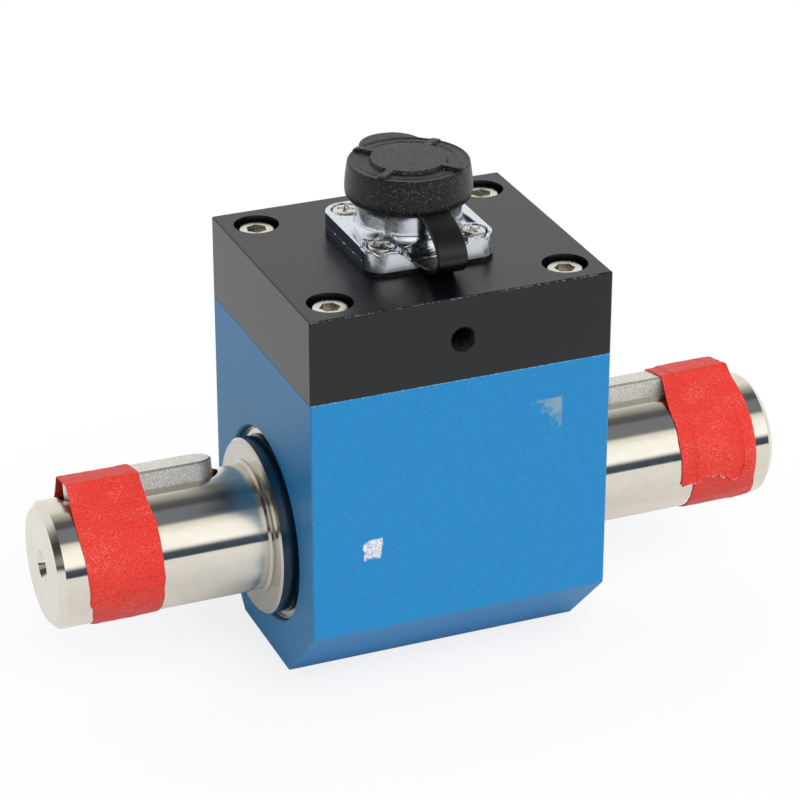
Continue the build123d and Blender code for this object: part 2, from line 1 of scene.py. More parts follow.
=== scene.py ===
"""Looks of the dynamic torque sensor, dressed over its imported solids.

Sizes in the classes are millimetres in the part's own frame: X along the shaft, Z up, and the origin at
the centre of the housing's underside. Meshes and materials are written in metres.
"""
import json
import logging
import math
from dataclasses import dataclass
from enum import Enum
from typing import Any, Sequence

import bmesh
import bpy
import numpy as np
from mathutils import Matrix, Vector


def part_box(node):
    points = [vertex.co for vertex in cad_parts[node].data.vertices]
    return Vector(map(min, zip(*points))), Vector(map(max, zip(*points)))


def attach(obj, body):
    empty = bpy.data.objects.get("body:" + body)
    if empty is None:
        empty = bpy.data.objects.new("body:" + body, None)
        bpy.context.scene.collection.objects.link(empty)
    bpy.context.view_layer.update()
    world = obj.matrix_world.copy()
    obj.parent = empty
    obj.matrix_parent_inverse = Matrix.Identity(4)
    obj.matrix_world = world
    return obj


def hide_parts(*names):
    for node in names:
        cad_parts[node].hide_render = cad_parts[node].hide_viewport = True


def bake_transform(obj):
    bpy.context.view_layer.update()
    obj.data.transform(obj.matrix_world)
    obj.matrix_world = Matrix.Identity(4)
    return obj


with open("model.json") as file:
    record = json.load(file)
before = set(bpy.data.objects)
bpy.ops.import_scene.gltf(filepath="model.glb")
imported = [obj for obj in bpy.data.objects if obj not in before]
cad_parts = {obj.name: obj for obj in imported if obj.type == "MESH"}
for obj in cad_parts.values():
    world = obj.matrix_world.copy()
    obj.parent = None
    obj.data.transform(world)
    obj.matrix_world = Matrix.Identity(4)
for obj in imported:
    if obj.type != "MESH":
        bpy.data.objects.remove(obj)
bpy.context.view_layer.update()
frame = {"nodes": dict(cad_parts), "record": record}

MM = 0.001
SEAM = 2e-6      # points nearer to each other than this are merged, in metres
SLIVER = 1e-6    # edges shorter than this are closed, in metres
FAC, A, B = 0, 6, 7                             # inputs of a Mix node that mixes two colours
VALUE, LOW, HIGH, TO_LOW, TO_HIGH = range(5)    # inputs of a MapRange node
log = logging.getLogger("torque_sensor")

Colour = tuple[float, float, float, float]
Input = Any


class Side(Enum):
    """An end of the shaft, by the sign of its place along X."""

    LEFT = -1
    RIGHT = 1


def linear(code: str) -> Colour:
    """Turns an sRGB hex colour into linear light.

    Args:
        code: Colour as "#rrggbb".

    Returns:
        Red, green, blue and a full alpha.
    """
    parts = [int(code[i : i + 2], 16) / 255 for i in (1, 3, 5)]
    red, green, blue = (c / 12.92 if c <= 0.04045 else ((c + 0.055) / 1.055) ** 2.4 for c in parts)
    return red, green, blue, 1.0


def add(
    tree: bpy.types.NodeTree,
    kind: str,
    inputs: dict[Any, Input] | None = None,
    stops: Sequence[tuple[float, Colour]] = (),
    **settings: Any,
) -> bpy.types.Node:
    """Adds one shader node with its settings and links.

    Args:
        tree: Node tree that takes it.
        kind: Type of node, without the word ShaderNode.
        inputs: Value, node or socket for each input, by its name or number.
        stops: Places and colours of a colour ramp.
        settings: Options of the node itself.

    Returns:
        The new node. Given as an input, it stands for its first enabled output.
    """
    node = tree.nodes.new("ShaderNode" + kind)
    for name, value in settings.items():
        setattr(node, name, value)
    for place, colour in stops[2:]:
        node.color_ramp.elements.new(place)
    for element, (place, colour) in zip(node.color_ramp.elements if stops else (), stops):
        element.position, element.color = place, colour
    for name, value in (inputs or {}).items():
        if isinstance(value, bpy.types.Node):
            value = next(socket for socket in value.outputs if socket.enabled)
        if isinstance(value, bpy.types.NodeSocket):
            tree.links.new(value, node.inputs[name])
        else:
            node.inputs[name].default_value = value
    return node


@dataclass(frozen=True)
class Grain:
    """An irregular pattern of a real size.

    Attributes:
        size: Width of its spots along X, Y and Z in mm.
        detail: Layers of finer spots.
        low: Noise value that becomes 0.
        high: Noise value that becomes 1.
    """

    size: tuple[float, ...]
    detail: float = 2.0
    low: float = 0.35
    high: float = 0.65

    def field(self, tree: bpy.types.NodeTree, place: Input) -> bpy.types.Node:
        """Adds the pattern as nodes.

        Args:
            tree: Node tree that takes them.
            place: Coordinates in metres.

        Returns:
            A node whose value runs from 0 to 1.
        """
        scale = tuple(1 / (each * MM) for each in self.size)
        spread = add(tree, "Mapping", {"Vector": place, "Scale": scale})
        noise = add(tree, "TexNoise", {"Vector": spread, "Scale": 1.0, "Detail": self.detail})
        limits = {VALUE: noise, LOW: self.low, HIGH: self.high}
        return add(tree, "MapRange", limits, interpolation_type="SMOOTHSTEP")


@dataclass(frozen=True)
class Finish:
    """What a surface is made of and how it was worked: colour, roughness and relief follow its grain.

    Attributes:
        name: Plain name of the finish.
        colours: Colour where the grain is low and where it is high.
        roughness: Roughness where the grain is low and where it is high.
        grain: Pattern that the making left.
        metallic: 1 for bare metal, 0 for a skin over it, plastic, rubber or paper.
        relief: Height of the grain in mm.
        ior: Index of refraction; none leaves the usual one, as every metal does.
        stain: A second pattern that darkens the colour, or none.
        stain_depth: How far the stain darkens, from 0 to 1.
        stain_tint: Colour that the stain multiplies in.
        drag: Anisotropy of marks left by turning about X, which blur reflections along X only.
        drag_turn: Turn of that blur, as a share of a full turn.
    """

    name: str
    colours: tuple[str, str]
    roughness: tuple[float, float]
    grain: Grain
    metallic: float = 0.0
    relief: float = 0.0
    ior: float | None = None
    stain: Grain | None = None
    stain_depth: float = 0.0
    stain_tint: str = "#5a5a58"
    drag: float = 0.0
    drag_turn: float = 0.25

    def place(self, tree: bpy.types.NodeTree) -> Input:
        """Object coordinates that the pattern reads."""
        return add(tree, "TexCoord").outputs["Object"]

    def colour(self, tree: bpy.types.NodeTree, place: Input, grain: Input) -> Input:
        """Colour of the surface.

        Args:
            tree: Node tree that takes the nodes.
            place: Coordinates that the pattern reads; not used here.
            grain: The grain's value.

        Returns:
            The colour's node.
        """
        low, high = map(linear, self.colours)
        return add(tree, "Mix", {FAC: grain, A: low, B: high}, data_type="RGBA")

    def material(self) -> bpy.types.Material:
        """Makes the material.

        Returns:
            The new material.
        """
        made = bpy.data.materials.new(self.name)
        made.use_nodes = True
        tree = made.node_tree
        tree.nodes.clear()
        place = self.place(tree)
        grain = self.grain.field(tree, place)
        colour = self.colour(tree, place, grain)
        if self.stain:
            spot = self.stain.field(tree, place)
            share = add(tree, "Math", {0: spot, 1: self.stain_depth}, operation="MULTIPLY")
            tinted = {FAC: 1.0, A: colour, B: linear(self.stain_tint)}
            dark = add(tree, "Mix", tinted, data_type="RGBA", blend_type="MULTIPLY")
            colour = add(tree, "Mix", {FAC: share, A: colour, B: dark}, data_type="RGBA")
        rough = add(tree, "MapRange", {VALUE: grain, TO_LOW: self.roughness[0], TO_HIGH: self.roughness[1]})
        inputs: dict[Any, Input] = {"Base Color": colour, "Roughness": rough, "Metallic": self.metallic}
        if self.ior:
            inputs["IOR"] = self.ior
        if self.relief:
            relief = {"Height": grain, "Distance": self.relief * MM, "Strength": 1.0}
            inputs["Normal"] = add(tree, "Bump", relief)
        if self.drag:
            inputs["Anisotropic"], inputs["Anisotropic Rotation"] = self.drag, self.drag_turn
            inputs["Tangent"] = add(tree, "Tangent", direction_type="RADIAL", axis="X")
        shader = add(tree, "BsdfPrincipled", inputs)
        add(tree, "OutputMaterial", {"Surface": shader})
        return made


@dataclass(frozen=True)
class BlastedAnodise(Finish):
    """Aluminium blasted with fine beads and anodised, with its front top edge rubbed pale in places."""

    rubbed: str = "#67676a"
    wear: Grain = Grain((0.55,) * 3, 4.0, 0.44, 0.64)
    edge: tuple[float, float, float] = (-32.2, -28.8, 87.32)   # corner where the rubbed edge starts, in mm

    def colour(self, tree: bpy.types.NodeTree, place: Input, grain: Input) -> Input:
        """Mixes the rubbed colour in along the edge by the wear pattern, and wholly at the left corner.

        A point lies on the edge where it is both in front of and above the edge's corner.
        """
        base = super().colour(tree, place, grain)
        at = add(tree, "SeparateXYZ", {0: place})
        x, y, z = (each * MM for each in self.edge)
        forward = add(tree, "Math", {0: at.outputs[1], 1: y}, operation="LESS_THAN")
        above = add(tree, "Math", {0: at.outputs[2], 1: z}, operation="GREATER_THAN")
        corner = add(tree, "Math", {0: at.outputs[0], 1: x}, operation="LESS_THAN")
        worn = add(tree, "Math", {0: self.wear.field(tree, place), 1: corner}, operation="MAXIMUM")
        share = add(tree, "Math", {0: forward, 1: above}, operation="MULTIPLY")
        share = add(tree, "Math", {0: share, 1: worn}, operation="MULTIPLY")
        return add(tree, "Mix", {FAC: share, A: base, B: linear(self.rubbed)}, data_type="RGBA")


@dataclass(frozen=True)
class MarkedAnodise(BlastedAnodise):
    """The blue anodising of the housing, whose front face carries two old marks of paper and glue."""

    rubbed: str = "#7fb4cf"
    edge: tuple[float, float, float] = (-32.8, -28.85, 69.1)
    front: float = -28.6            # the marks lie on faces in front of this, in mm
    ragged: Grain = Grain((1.1,) * 3, 3.0, 0.25, 0.75)     # noise that moves both outlines
    paper: tuple[float, ...] = (-19.7, 34.3, 2.0, 2.15)         # middle x and z, half width and height, in mm
    paper_corner: float = 0.35      # how far its corners are rounded
    paper_ragged: float = 0.3       # how far the noise moves its outline, as a share of its size
    paper_end: tuple[float, float] = (1.2, 1.12)                # distances where it has ended and is whole
    # painted shade and light: the paper's colour in its creases and on their crests
    paper_shade_and_light: tuple[str, str] = ("#b4bdd2", "#f1f3f8")
    creased: Grain = Grain((0.6,) * 3, 3.0, 0.3, 0.7)
    smear: tuple[float, ...] = (22.2, 61.4, 6.9, 7.9)           # corner x and z, reach left and down, in mm
    smear_edge: float = 0.02        # softness of its straight edges, as a share of its reach
    smear_ragged: float = 0.55      # how far the noise moves its slanting edge, as a share of its reach
    smear_end: tuple[float, float] = (1.3, 0.75)                # distances where it has ended and is full
    smear_depth: float = 0.85       # how much of the blue it covers where it is full
    smear_tint: str = "#8fa8ae"
    streaked: Grain = Grain((0.9, 0.9, 1.8), 3.0, 0.1, 0.55)

    def colour(self, tree: bpy.types.NodeTree, place: Input, grain: Input) -> Input:
        """Adds a small ragged patch of white paper, with painted shade in its creases, and a triangular grey
        smear that fades to the left.

        The patch goes by the larger of the two distances from its middle, with noise added. The smear goes by
        the sum of the two distances from its corner, with noise added.
        """
        base = super().colour(tree, place, grain)
        at = add(tree, "SeparateXYZ", {0: place})
        rough = self.ragged.field(tree, place)
        shown = add(tree, "Math", {0: at.outputs[1], 1: self.front * MM}, operation="LESS_THAN")

        def away(axis: int, middle: float, size: float) -> Input:
            """Distance from a place along an axis, as a share of a size."""
            limits = {VALUE: at.outputs[axis], LOW: middle * MM, HIGH: (middle + size) * MM}
            return add(tree, "MapRange", limits, clamp=False)

        x, z, wide, tall = self.paper
        beside = add(tree, "Math", {0: away(0, x, wide)}, operation="ABSOLUTE")
        over = add(tree, "Math", {0: away(2, z, tall)}, operation="ABSOLUTE")
        far = add(tree, "Math", {0: beside, 1: over, 2: self.paper_corner}, operation="SMOOTH_MAX")
        far = add(tree, "Math", {0: rough, 1: self.paper_ragged, 2: far}, operation="MULTIPLY_ADD")
        ended, whole = self.paper_end
        patch = add(tree, "MapRange", {VALUE: far, LOW: ended, HIGH: whole})
        patch = add(tree, "Math", {0: patch, 1: shown}, operation="MULTIPLY")
        x, z, wide, tall = self.smear
        left, down = away(0, x, -wide), away(2, z, -tall)
        least = add(tree, "Math", {0: left, 1: down}, operation="MINIMUM")
        near = add(tree, "MapRange", {VALUE: least, LOW: -self.smear_edge, HIGH: self.smear_edge})
        both = add(tree, "Math", {0: left, 1: down}, operation="ADD")
        both = add(tree, "Math", {0: rough, 1: self.smear_ragged, 2: both}, operation="MULTIPLY_ADD")
        ended, whole = self.smear_end
        fade = add(tree, "MapRange", {VALUE: both, LOW: ended, HIGH: whole, TO_HIGH: self.smear_depth})
        streak = self.streaked.field(tree, place)
        for part in (streak, near, shown):
            fade = add(tree, "Math", {0: fade, 1: part}, operation="MULTIPLY")
        base = add(tree, "Mix", {FAC: fade, A: base, B: linear(self.smear_tint)}, data_type="RGBA")
        creases = self.creased.field(tree, place)
        shaded, lit = map(linear, self.paper_shade_and_light)
        paper = add(tree, "Mix", {FAC: creases, A: shaded, B: lit}, data_type="RGBA")
        return add(tree, "Mix", {FAC: patch, A: base, B: paper}, data_type="RGBA")


@dataclass(frozen=True)
class TurnedSteel(Finish):
    """Steel faced on a lathe: fine rings about the shaft's axis, with painted shade on its outermost side."""

    axis_height: float = 28.5
    side_radius: float = 30.0       # beyond this distance from the axis, outward sides get painted shade, in mm
    side_facing: float = 0.3        # a side faces outwards where its normal's part along X is under this
    # painted shade: the colour multiplied into the outer side
    painted_side_shade: str = "#787f88"
    turn_length: float = 4.0        # length of pattern for each radian about the axis, in mm

    def colour(self, tree: bpy.types.NodeTree, place: Input, grain: Input) -> Input:
        """Darkens the outermost turned side: painted shade."""
        base = super().colour(tree, place, grain)
        facing = add(tree, "SeparateXYZ", {0: add(tree, "NewGeometry").outputs["True Normal"]})
        along = add(tree, "Math", {0: facing.outputs[0]}, operation="ABSOLUTE")
        side = add(tree, "Math", {0: along, 1: self.side_facing}, operation="LESS_THAN")
        radius = add(tree, "SeparateXYZ", {0: place}).outputs[1]
        outer = add(tree, "Math", {0: radius, 1: self.side_radius * MM}, operation="GREATER_THAN")
        share = add(tree, "Math", {0: side, 1: outer}, operation="MULTIPLY")
        tints = {FAC: share, A: linear("#ffffff"), B: linear(self.painted_side_shade)}
        shade = add(tree, "Mix", tints, data_type="RGBA")
        return add(tree, "Mix", {FAC: 1.0, A: base, B: shade}, data_type="RGBA", blend_type="MULTIPLY")

    def place(self, tree: bpy.types.NodeTree) -> Input:
        """Coordinates of place along the axis, distance from it and a slow turn about it."""
        point = add(tree, "SeparateXYZ", {0: super().place(tree)})
        high = add(tree, "Math", {0: point.outputs[2], 1: self.axis_height * MM}, operation="SUBTRACT")
        flat = add(tree, "CombineXYZ", {0: point.outputs[1], 1: high})
        radius = add(tree, "VectorMath", {0: flat}, operation="LENGTH").outputs["Value"]
        turn = add(tree, "Math", {0: point.outputs[1], 1: high}, operation="ARCTAN2")
        slow = add(tree, "Math", {0: turn, 1: self.turn_length * MM}, operation="MULTIPLY")
        return add(tree, "CombineXYZ", {0: point.outputs[0], 1: radius, 2: slow}).outputs[0]


@dataclass(frozen=True)
class CrepedPaper(Finish):
    """Dyed crepe paper with pale flecks of painted highlight, glints on its wrinkles, in some places more
    than in others.
    """

    # painted highlight: the pale pink of glints on the wrinkles
    glint_colour: str = "#fb9a90"
    flecks: Grain = Grain((0.3, 0.16, 0.16), 2.0, 0.56, 0.68)
    # wide pattern that gathers the painted glints in some places more than in others
    rubbed: Grain = Grain((7.0, 4.0, 4.0), 2.0, 0.42, 0.66)
    glint_gain: float = 0.75       # share of the flecks that the wide pattern adds
    glint_least: float = 0.15      # share of them that shows everywhere

    def colour(self, tree: bpy.types.NodeTree, place: Input, grain: Input) -> Input:
        """Mixes the painted glints' colour in by the product of the two patterns."""
        base = super().colour(tree, place, grain)
        spots, rubbed = self.flecks.field(tree, place), self.rubbed.field(tree, place)
        worn = {0: rubbed, 1: self.glint_gain, 2: self.glint_least}
        rubbed = add(tree, "Math", worn, operation="MULTIPLY_ADD")
        share = add(tree, "Math", {0: spots, 1: rubbed}, operation="MULTIPLY")
        return add(tree, "Mix", {FAC: share, A: base, B: linear(self.glint_colour)}, data_type="RGBA")


@dataclass(frozen=True)
class DustyRubber(Finish):
    """Black rubber with pale specks of dust on it."""

    dust: str = "#747678"
    specks: Grain = Grain((0.22,) * 3, 2.0, 0.6, 0.69)

    def colour(self, tree: bpy.types.NodeTree, place: Input, grain: Input) -> Input:
        """Mixes the dust's colour in where its own pattern peaks."""
        base = super().colour(tree, place, grain)
        specks = self.specks.field(tree, place)
        return add(tree, "Mix", {FAC: specks, A: base, B: linear(self.dust)}, data_type="RGBA")


@dataclass(frozen=True)
class CastPlating(Finish):
    """Bright plating over a casting, with painted shade on the walls that face left, where they mirror the
    dark cover.
    """

    # painted shade: the colour multiplied into the walls that face left
    painted_wall_shade: str = "#5c6488"
    wall_facing: tuple[float, float] = (-0.8, -0.97)   # normal's part along X where it starts and is full
    wall_top: float = 92.6      # top of the painted shade, in mm

    def colour(self, tree: bpy.types.NodeTree, place: Input, grain: Input) -> Input:
        """Darkens the walls by how far they face left: painted shade."""
        base = super().colour(tree, place, grain)
        facing = add(tree, "SeparateXYZ", {0: add(tree, "NewGeometry").outputs["True Normal"]})
        starts, full = self.wall_facing
        share = add(tree, "MapRange", {VALUE: facing.outputs[0], LOW: starts, HIGH: full})
        high = add(tree, "SeparateXYZ", {0: place}).outputs[2]
        low = add(tree, "Math", {0: high, 1: self.wall_top * MM}, operation="LESS_THAN")
        share = add(tree, "Math", {0: share, 1: low}, operation="MULTIPLY")
        tinted = {FAC: 1.0, A: base, B: linear(self.painted_wall_shade)}
        dark = add(tree, "Mix", tinted, data_type="RGBA", blend_type="MULTIPLY")
        return add(tree, "Mix", {FAC: share, A: base, B: dark}, data_type="RGBA")


FINISHES: tuple[Finish, ...] = (
    # Aluminium, bead blasted and anodised blue: a satin skin with a fine speckle, whiter where seen flat.
    MarkedAnodise("blue_anodise", ("#0275b4", "#0c93d2"), (0.42, 0.5), Grain((0.22,) * 3, 2.0, 0.3, 0.7),
                  relief=0.004, ior=1.53),
    # Aluminium, bead blasted and anodised near black: grey where it shows the pale studio at a low angle.
    BlastedAnodise("dark_anodise", ("#040609", "#090c10"), (0.28, 0.35), Grain((0.3,) * 3, 3.0),
                   relief=0.005, ior=1.47),
    # The same aluminium where a tap has cut through the skin.
    Finish("tapped_aluminium", ("#24272c", "#3a3e44"), (0.2, 0.3), Grain((0.4,) * 3), metallic=0.8),
    # Steel shaft, turned and ground: bright, slightly uneven, with dark specks and very fine lines round it.
    Finish("ground_steel", ("#dbd5c9", "#dfd9cd"), (0.12, 0.14), Grain((3.0, 1.6, 1.6), 2.0),
           metallic=1.0, relief=0.0002, stain=Grain((0.3,) * 3, 2.0, 0.70, 0.75), stain_depth=0.4, drag=0.93),
    # Key steel, cold drawn: pale satin grey with a finely mottled skin.
    Finish("drawn_key_steel", ("#dbd6cb", "#f8f4ec"), (0.55, 0.5), Grain((0.42, 0.3, 0.3), 4.0, 0.38, 0.62),
           metallic=1.0, relief=0.0013),
    # Steel collar, faced and turned bright: rings about the axis that drag its reflections round; its outer
    # side carries painted shade.
    TurnedSteel("turned_collar_steel", ("#b6b3aa", "#c0bdb4"), (0.14, 0.18), Grain((0.3, 0.3, 3.0), 2.0),
                metallic=1.0, relief=0.0001, drag=0.45, side_radius=18.0, painted_side_shade="#a4a9b0"),
    # Bearing rings, hardened and ground.
    TurnedSteel("ground_bearing_steel", ("#cbc7bc", "#d8d4c8"), (0.16, 0.22), Grain((0.4, 0.3, 3.0), 2.0),
                metallic=1.0, relief=0.0002),
    # Bearing shields, pressed from sheet.
    TurnedSteel("pressed_shield_steel", ("#8a8c8e", "#9da0a2"), (0.25, 0.35), Grain((0.5, 0.5, 3.0), 2.0),
                metallic=1.0, relief=0.002),
    # Bearing balls, lapped.
    Finish("lapped_ball_steel", ("#cfd1d3", "#dddfe1"), (0.06, 0.1), Grain((0.6,) * 3), metallic=1.0),
    # Zinc die casting, plated: satin bright over an uneven cast skin, with painted shade on the walls that
    # face left.
    CastPlating("bright_cast_plating", ("#d2d7de", "#dde1e6"), (0.15, 0.21), Grain((0.7,) * 3, 3.0),
                metallic=1.0, relief=0.0008),
    # Connector screws, nickel plated.
    Finish("nickel_screw_plating", ("#d2d0c9", "#dedcd6"), (0.18, 0.26), Grain((0.5,) * 3, 3.0),
           metallic=1.0),
    # Socket screws, zinc plated: pale and a little yellow.
    Finish("zinc_screw_plating", ("#d6d2c6", "#dfdcd2"), (0.2, 0.28), Grain((0.5,) * 3, 3.0), metallic=1.0),
    # Rubber, compression moulded: satin black with a fine grain and pale dust specks.
    DustyRubber("moulded_rubber", ("#030303", "#070707"), (0.34, 0.46), Grain((0.22,) * 3, 3.0),
                relief=0.008, ior=1.42),
    # Strap rubber, the same moulding, stretched smooth.
    Finish("smooth_strap_rubber", ("#030303", "#060606"), (0.36, 0.44), Grain((0.5,) * 3),
           relief=0.002, ior=1.5),
    # Masking paper, creped and dyed red: short raised wrinkles across the strip, paler on their crests and
    # flecked pale pink as painted highlight.
    CrepedPaper("creped_red_paper", ("#de2015", "#fb4a3b"), (0.42, 0.55),
                Grain((0.34, 0.17, 0.17), 2.0, 0.35, 0.7), relief=0.06, ior=1.45),
    # Fibres at the tape's torn end, where the dye hasn't reached.
    Finish("torn_paper_fibre", ("#ee8f86", "#fbd3cd"), (0.6, 0.7), Grain((0.4,) * 3), relief=0.01, ior=1.4),
    # Connector insert, glass-filled plastic, moulded.
    Finish("moulded_insert_plastic", ("#121212", "#191919"), (0.4, 0.5), Grain((0.5,) * 3),
           relief=0.005, ior=1.5),
    # Contacts, turned brass plated with gold.
    Finish("gold_contact_plating", ("#d9a441", "#e8bb5c"), (0.15, 0.25), Grain((0.3, 0.3, 0.8)),
           metallic=1.0),
    # Hidden sleeve, turned aluminium.
    Finish("turned_aluminium", ("#b4b6b8", "#c4c6c8"), (0.25, 0.35), Grain((0.3, 6.0, 6.0)),
           metallic=1.0, relief=0.002),
    # Coils, enamelled copper wound side by side: fine ridges around the axis.
    Finish("enamelled_copper_winding", ("#9a4f22", "#c8743a"), (0.25, 0.35), Grain((0.3, 20.0, 20.0), 1.0),
           metallic=1.0, relief=0.03),
    # Circuit boards, glass laminate with green solder resist.
    Finish("green_board_laminate", ("#0c4a24", "#126032"), (0.25, 0.35), Grain((0.8,) * 3),
           relief=0.004, ior=1.5),
    # Chip packages, moulded epoxy.
    Finish("moulded_chip_epoxy", ("#141414", "#1e1e1e"), (0.5, 0.6), Grain((0.3,) * 3),
           relief=0.004, ior=1.5),
    # Standoffs, turned brass.
    Finish("turned_brass", ("#b8923f", "#cba654"), (0.22, 0.32), Grain((2.0, 2.0, 0.3)),
           metallic=1.0, relief=0.002),
    # Strain gauges, polyimide film.
    Finish("gauge_polyimide_film", ("#a35d12", "#c0741c"), (0.25, 0.35), Grain((0.4,) * 3), ior=1.6),
)

SLOT_FINISH: dict[str, str] = {
    "housing_anodised": "blue_anodise",
    "cover_anodised": "dark_anodise",
    "connector_plating": "bright_cast_plating",
    "connector_screw_steel": "nickel_screw_plating",
    "screw_steel": "zinc_screw_plating",
    "insert_plastic": "moulded_insert_plastic",
    "contact_gold": "gold_contact_plating",
    "rubber": "moulded_rubber",
    "shaft_steel": "ground_steel",
    "collar_steel": "turned_collar_steel",
    "key_steel": "drawn_key_steel",
    "bearing_steel": "ground_bearing_steel",
    "shield_steel": "pressed_shield_steel",
    "ball_steel": "lapped_ball_steel",
    "paper_tape": "creped_red_paper",
    "sleeve_aluminium": "turned_aluminium",
    "coil_copper": "enamelled_copper_winding",
    "board_laminate": "green_board_laminate",
    "chip_plastic": "moulded_chip_epoxy",
    "standoff_brass": "turned_brass",
    "gauge_film": "gauge_polyimide_film",
}


@dataclass
class Patch:
    """A surface as a grid of points in mm: rows follow one parameter and columns the other."""

    points: np.ndarray
    rows_close: bool = False
    columns_close: bool = True

    def quads(self, first: int) -> np.ndarray:
        """Faces between neighbouring grid points, turned outwards by the sign of the volume they enclose.

        Args:
            first: Number of the grid's first vertex in the mesh.

        Returns:
            One row of four vertex numbers for each face.
        """
        rows, columns = self.points.shape[:2]
        starts = np.arange(rows - (not self.rows_close)), np.arange(columns - (not self.columns_close))
        row, column = np.meshgrid(*starts, indexing="ij")
        below, beside = (row + 1) % rows, (column + 1) % columns
        here, there = row * columns, below * columns
        quads = np.stack([here + column, here + beside, there + beside, there + column], -1).reshape(-1, 4)
        p, q, r, s = (self.points.reshape(-1, 3)[quads[:, corner]] for corner in range(4))
        volume = np.sum(p * np.cross(q, r)) + np.sum(p * np.cross(r, s))
        return (quads if volume > 0 else quads[:, ::-1]) + first


def make_piece(name: str, patches: Sequence[Patch], sharp: float) -> bpy.types.Object:
    """Makes one mesh object from closed grids, with poles and seams merged.

    Args:
        name: The piece's name.
        patches: Its surfaces, in mm.
        sharp: Angle in degrees from which an edge stays sharp.

    Returns:
        The new object, at the origin.
    """
    starts = np.cumsum([0] + [patch.points.shape[0] * patch.points.shape[1] for patch in patches])
    points = np.concatenate([patch.points.reshape(-1, 3) for patch in patches]) * MM
    faces = np.concatenate([patch.quads(start) for patch, start in zip(patches, starts)])
    mesh = bpy.data.meshes.new(name)
    mesh.from_pydata(points.tolist(), [], faces.tolist())
    work = bmesh.new()
    work.from_mesh(mesh)
    bmesh.ops.remove_doubles(work, verts=work.verts, dist=SEAM)
    bmesh.ops.dissolve_degenerate(work, dist=SLIVER, edges=work.edges)
    work.to_mesh(mesh)
    work.free()
    mesh.shade_smooth()
    mesh.set_sharp_from_angle(angle=math.radians(sharp))
    piece = bpy.data.objects.new(name, mesh)
    bpy.context.scene.collection.objects.link(piece)
    log.info("%s: %d faces", name, len(mesh.polygons))
    return piece


def rise(value: np.ndarray, start: float | np.ndarray, end: float | np.ndarray) -> np.ndarray:
    """Smooth step from 0 at start to 1 at end: 3t squared less 2t cubed, with t held between 0 and 1."""
    t = np.clip((value - start) / (end - start), 0.0, 1.0)
    return t * t * (3 - 2 * t)


def ripple(points: np.ndarray, size: Sequence[float], seed: int, waves: int = 24) -> np.ndarray:
    """Irregular smooth height from about -1 to 1: a sum of sine waves of random direction, length and phase.

    Args:
        points: Places in mm, with X, Y and Z last.
        size: Usual wavelength along X, Y and Z in mm.
        seed: Number that picks the waves.
        waves: How many waves are added.

    Returns:
        One height for each place.
    """
    rng = np.random.default_rng(seed)
    steps = rng.normal(size=(waves, 3)) * 2 * np.pi / (2.2 * np.asarray(size))
    phases = rng.uniform(0, 2 * np.pi, waves)
    return np.sin(points @ steps.T + phases).sum(-1) / math.sqrt(waves)


def rounded(corners: Sequence[tuple[float, float, float]], steps: int = 6) -> np.ndarray:
    """An open line through corners, each cut by an arc of its own radius.

    The arc leaves each side at the radius over the tangent of half the corner's angle.

    Args:
        corners: Two coordinates and a radius for each corner, in mm.
        steps: Points on each arc.

    Returns:
        The line's points, two coordinates each.
    """
    line = [np.array(corners[0][:2])[None]]
    for before, corner, after in zip(corners, corners[1:], corners[2:]):
        here = np.array(corner[:2])
        back, on = np.array(before[:2]) - here, np.array(after[:2]) - here
        back, on = back / np.linalg.norm(back), on / np.linalg.norm(on)
        half = math.acos(float(np.clip(back @ on, -1, 1))) / 2
        reach = corner[2] / math.tan(half)
        centre = here + (back + on) / np.linalg.norm(back + on) * corner[2] / math.sin(half)
        first, last = here + back * reach - centre, here + on * reach - centre
        t = np.linspace(0, 1, steps)[:, None]
        span = math.pi - 2 * half
        line.append(centre + (np.sin((1 - t) * span) * first + np.sin(t * span) * last) / math.sin(span))
    line.append(np.array(corners[-1][:2])[None])
    return np.concatenate(line)


def divided(line: np.ndarray, spacing: float) -> np.ndarray:
    """Adds points to a line so that none lies further than the spacing from the next, keeping every point."""
    gaps = np.linalg.norm(np.diff(line, axis=0), axis=1)
    counts = np.maximum(1, np.ceil(gaps / spacing).astype(int))
    place = np.concatenate([i + np.arange(n) / n for i, n in enumerate(counts)] + [[len(gaps)]])
    index = np.arange(len(line))
    return np.stack([np.interp(place, index, line[:, i]) for i in range(line.shape[1])], -1)


def whole_turn(steps: int) -> np.ndarray:
    """Angles of a whole turn in radians, evenly spaced."""
    return np.linspace(0, 2 * np.pi, steps, endpoint=False)


def polar(radius: np.ndarray, angle: np.ndarray, high: np.ndarray) -> np.ndarray:
    """Points about Z: the radius times the cosine and sine of the angle, and the height."""
    return np.stack(np.broadcast_arrays(radius * np.cos(angle), radius * np.sin(angle), high), -1)


def turned(profile: np.ndarray, steps: int) -> np.ndarray:
    """A profile's radii and heights in mm carried round Z, with one row for each of its points."""
    return polar(profile[:, :1], whole_turn(steps), profile[:, 1:2])


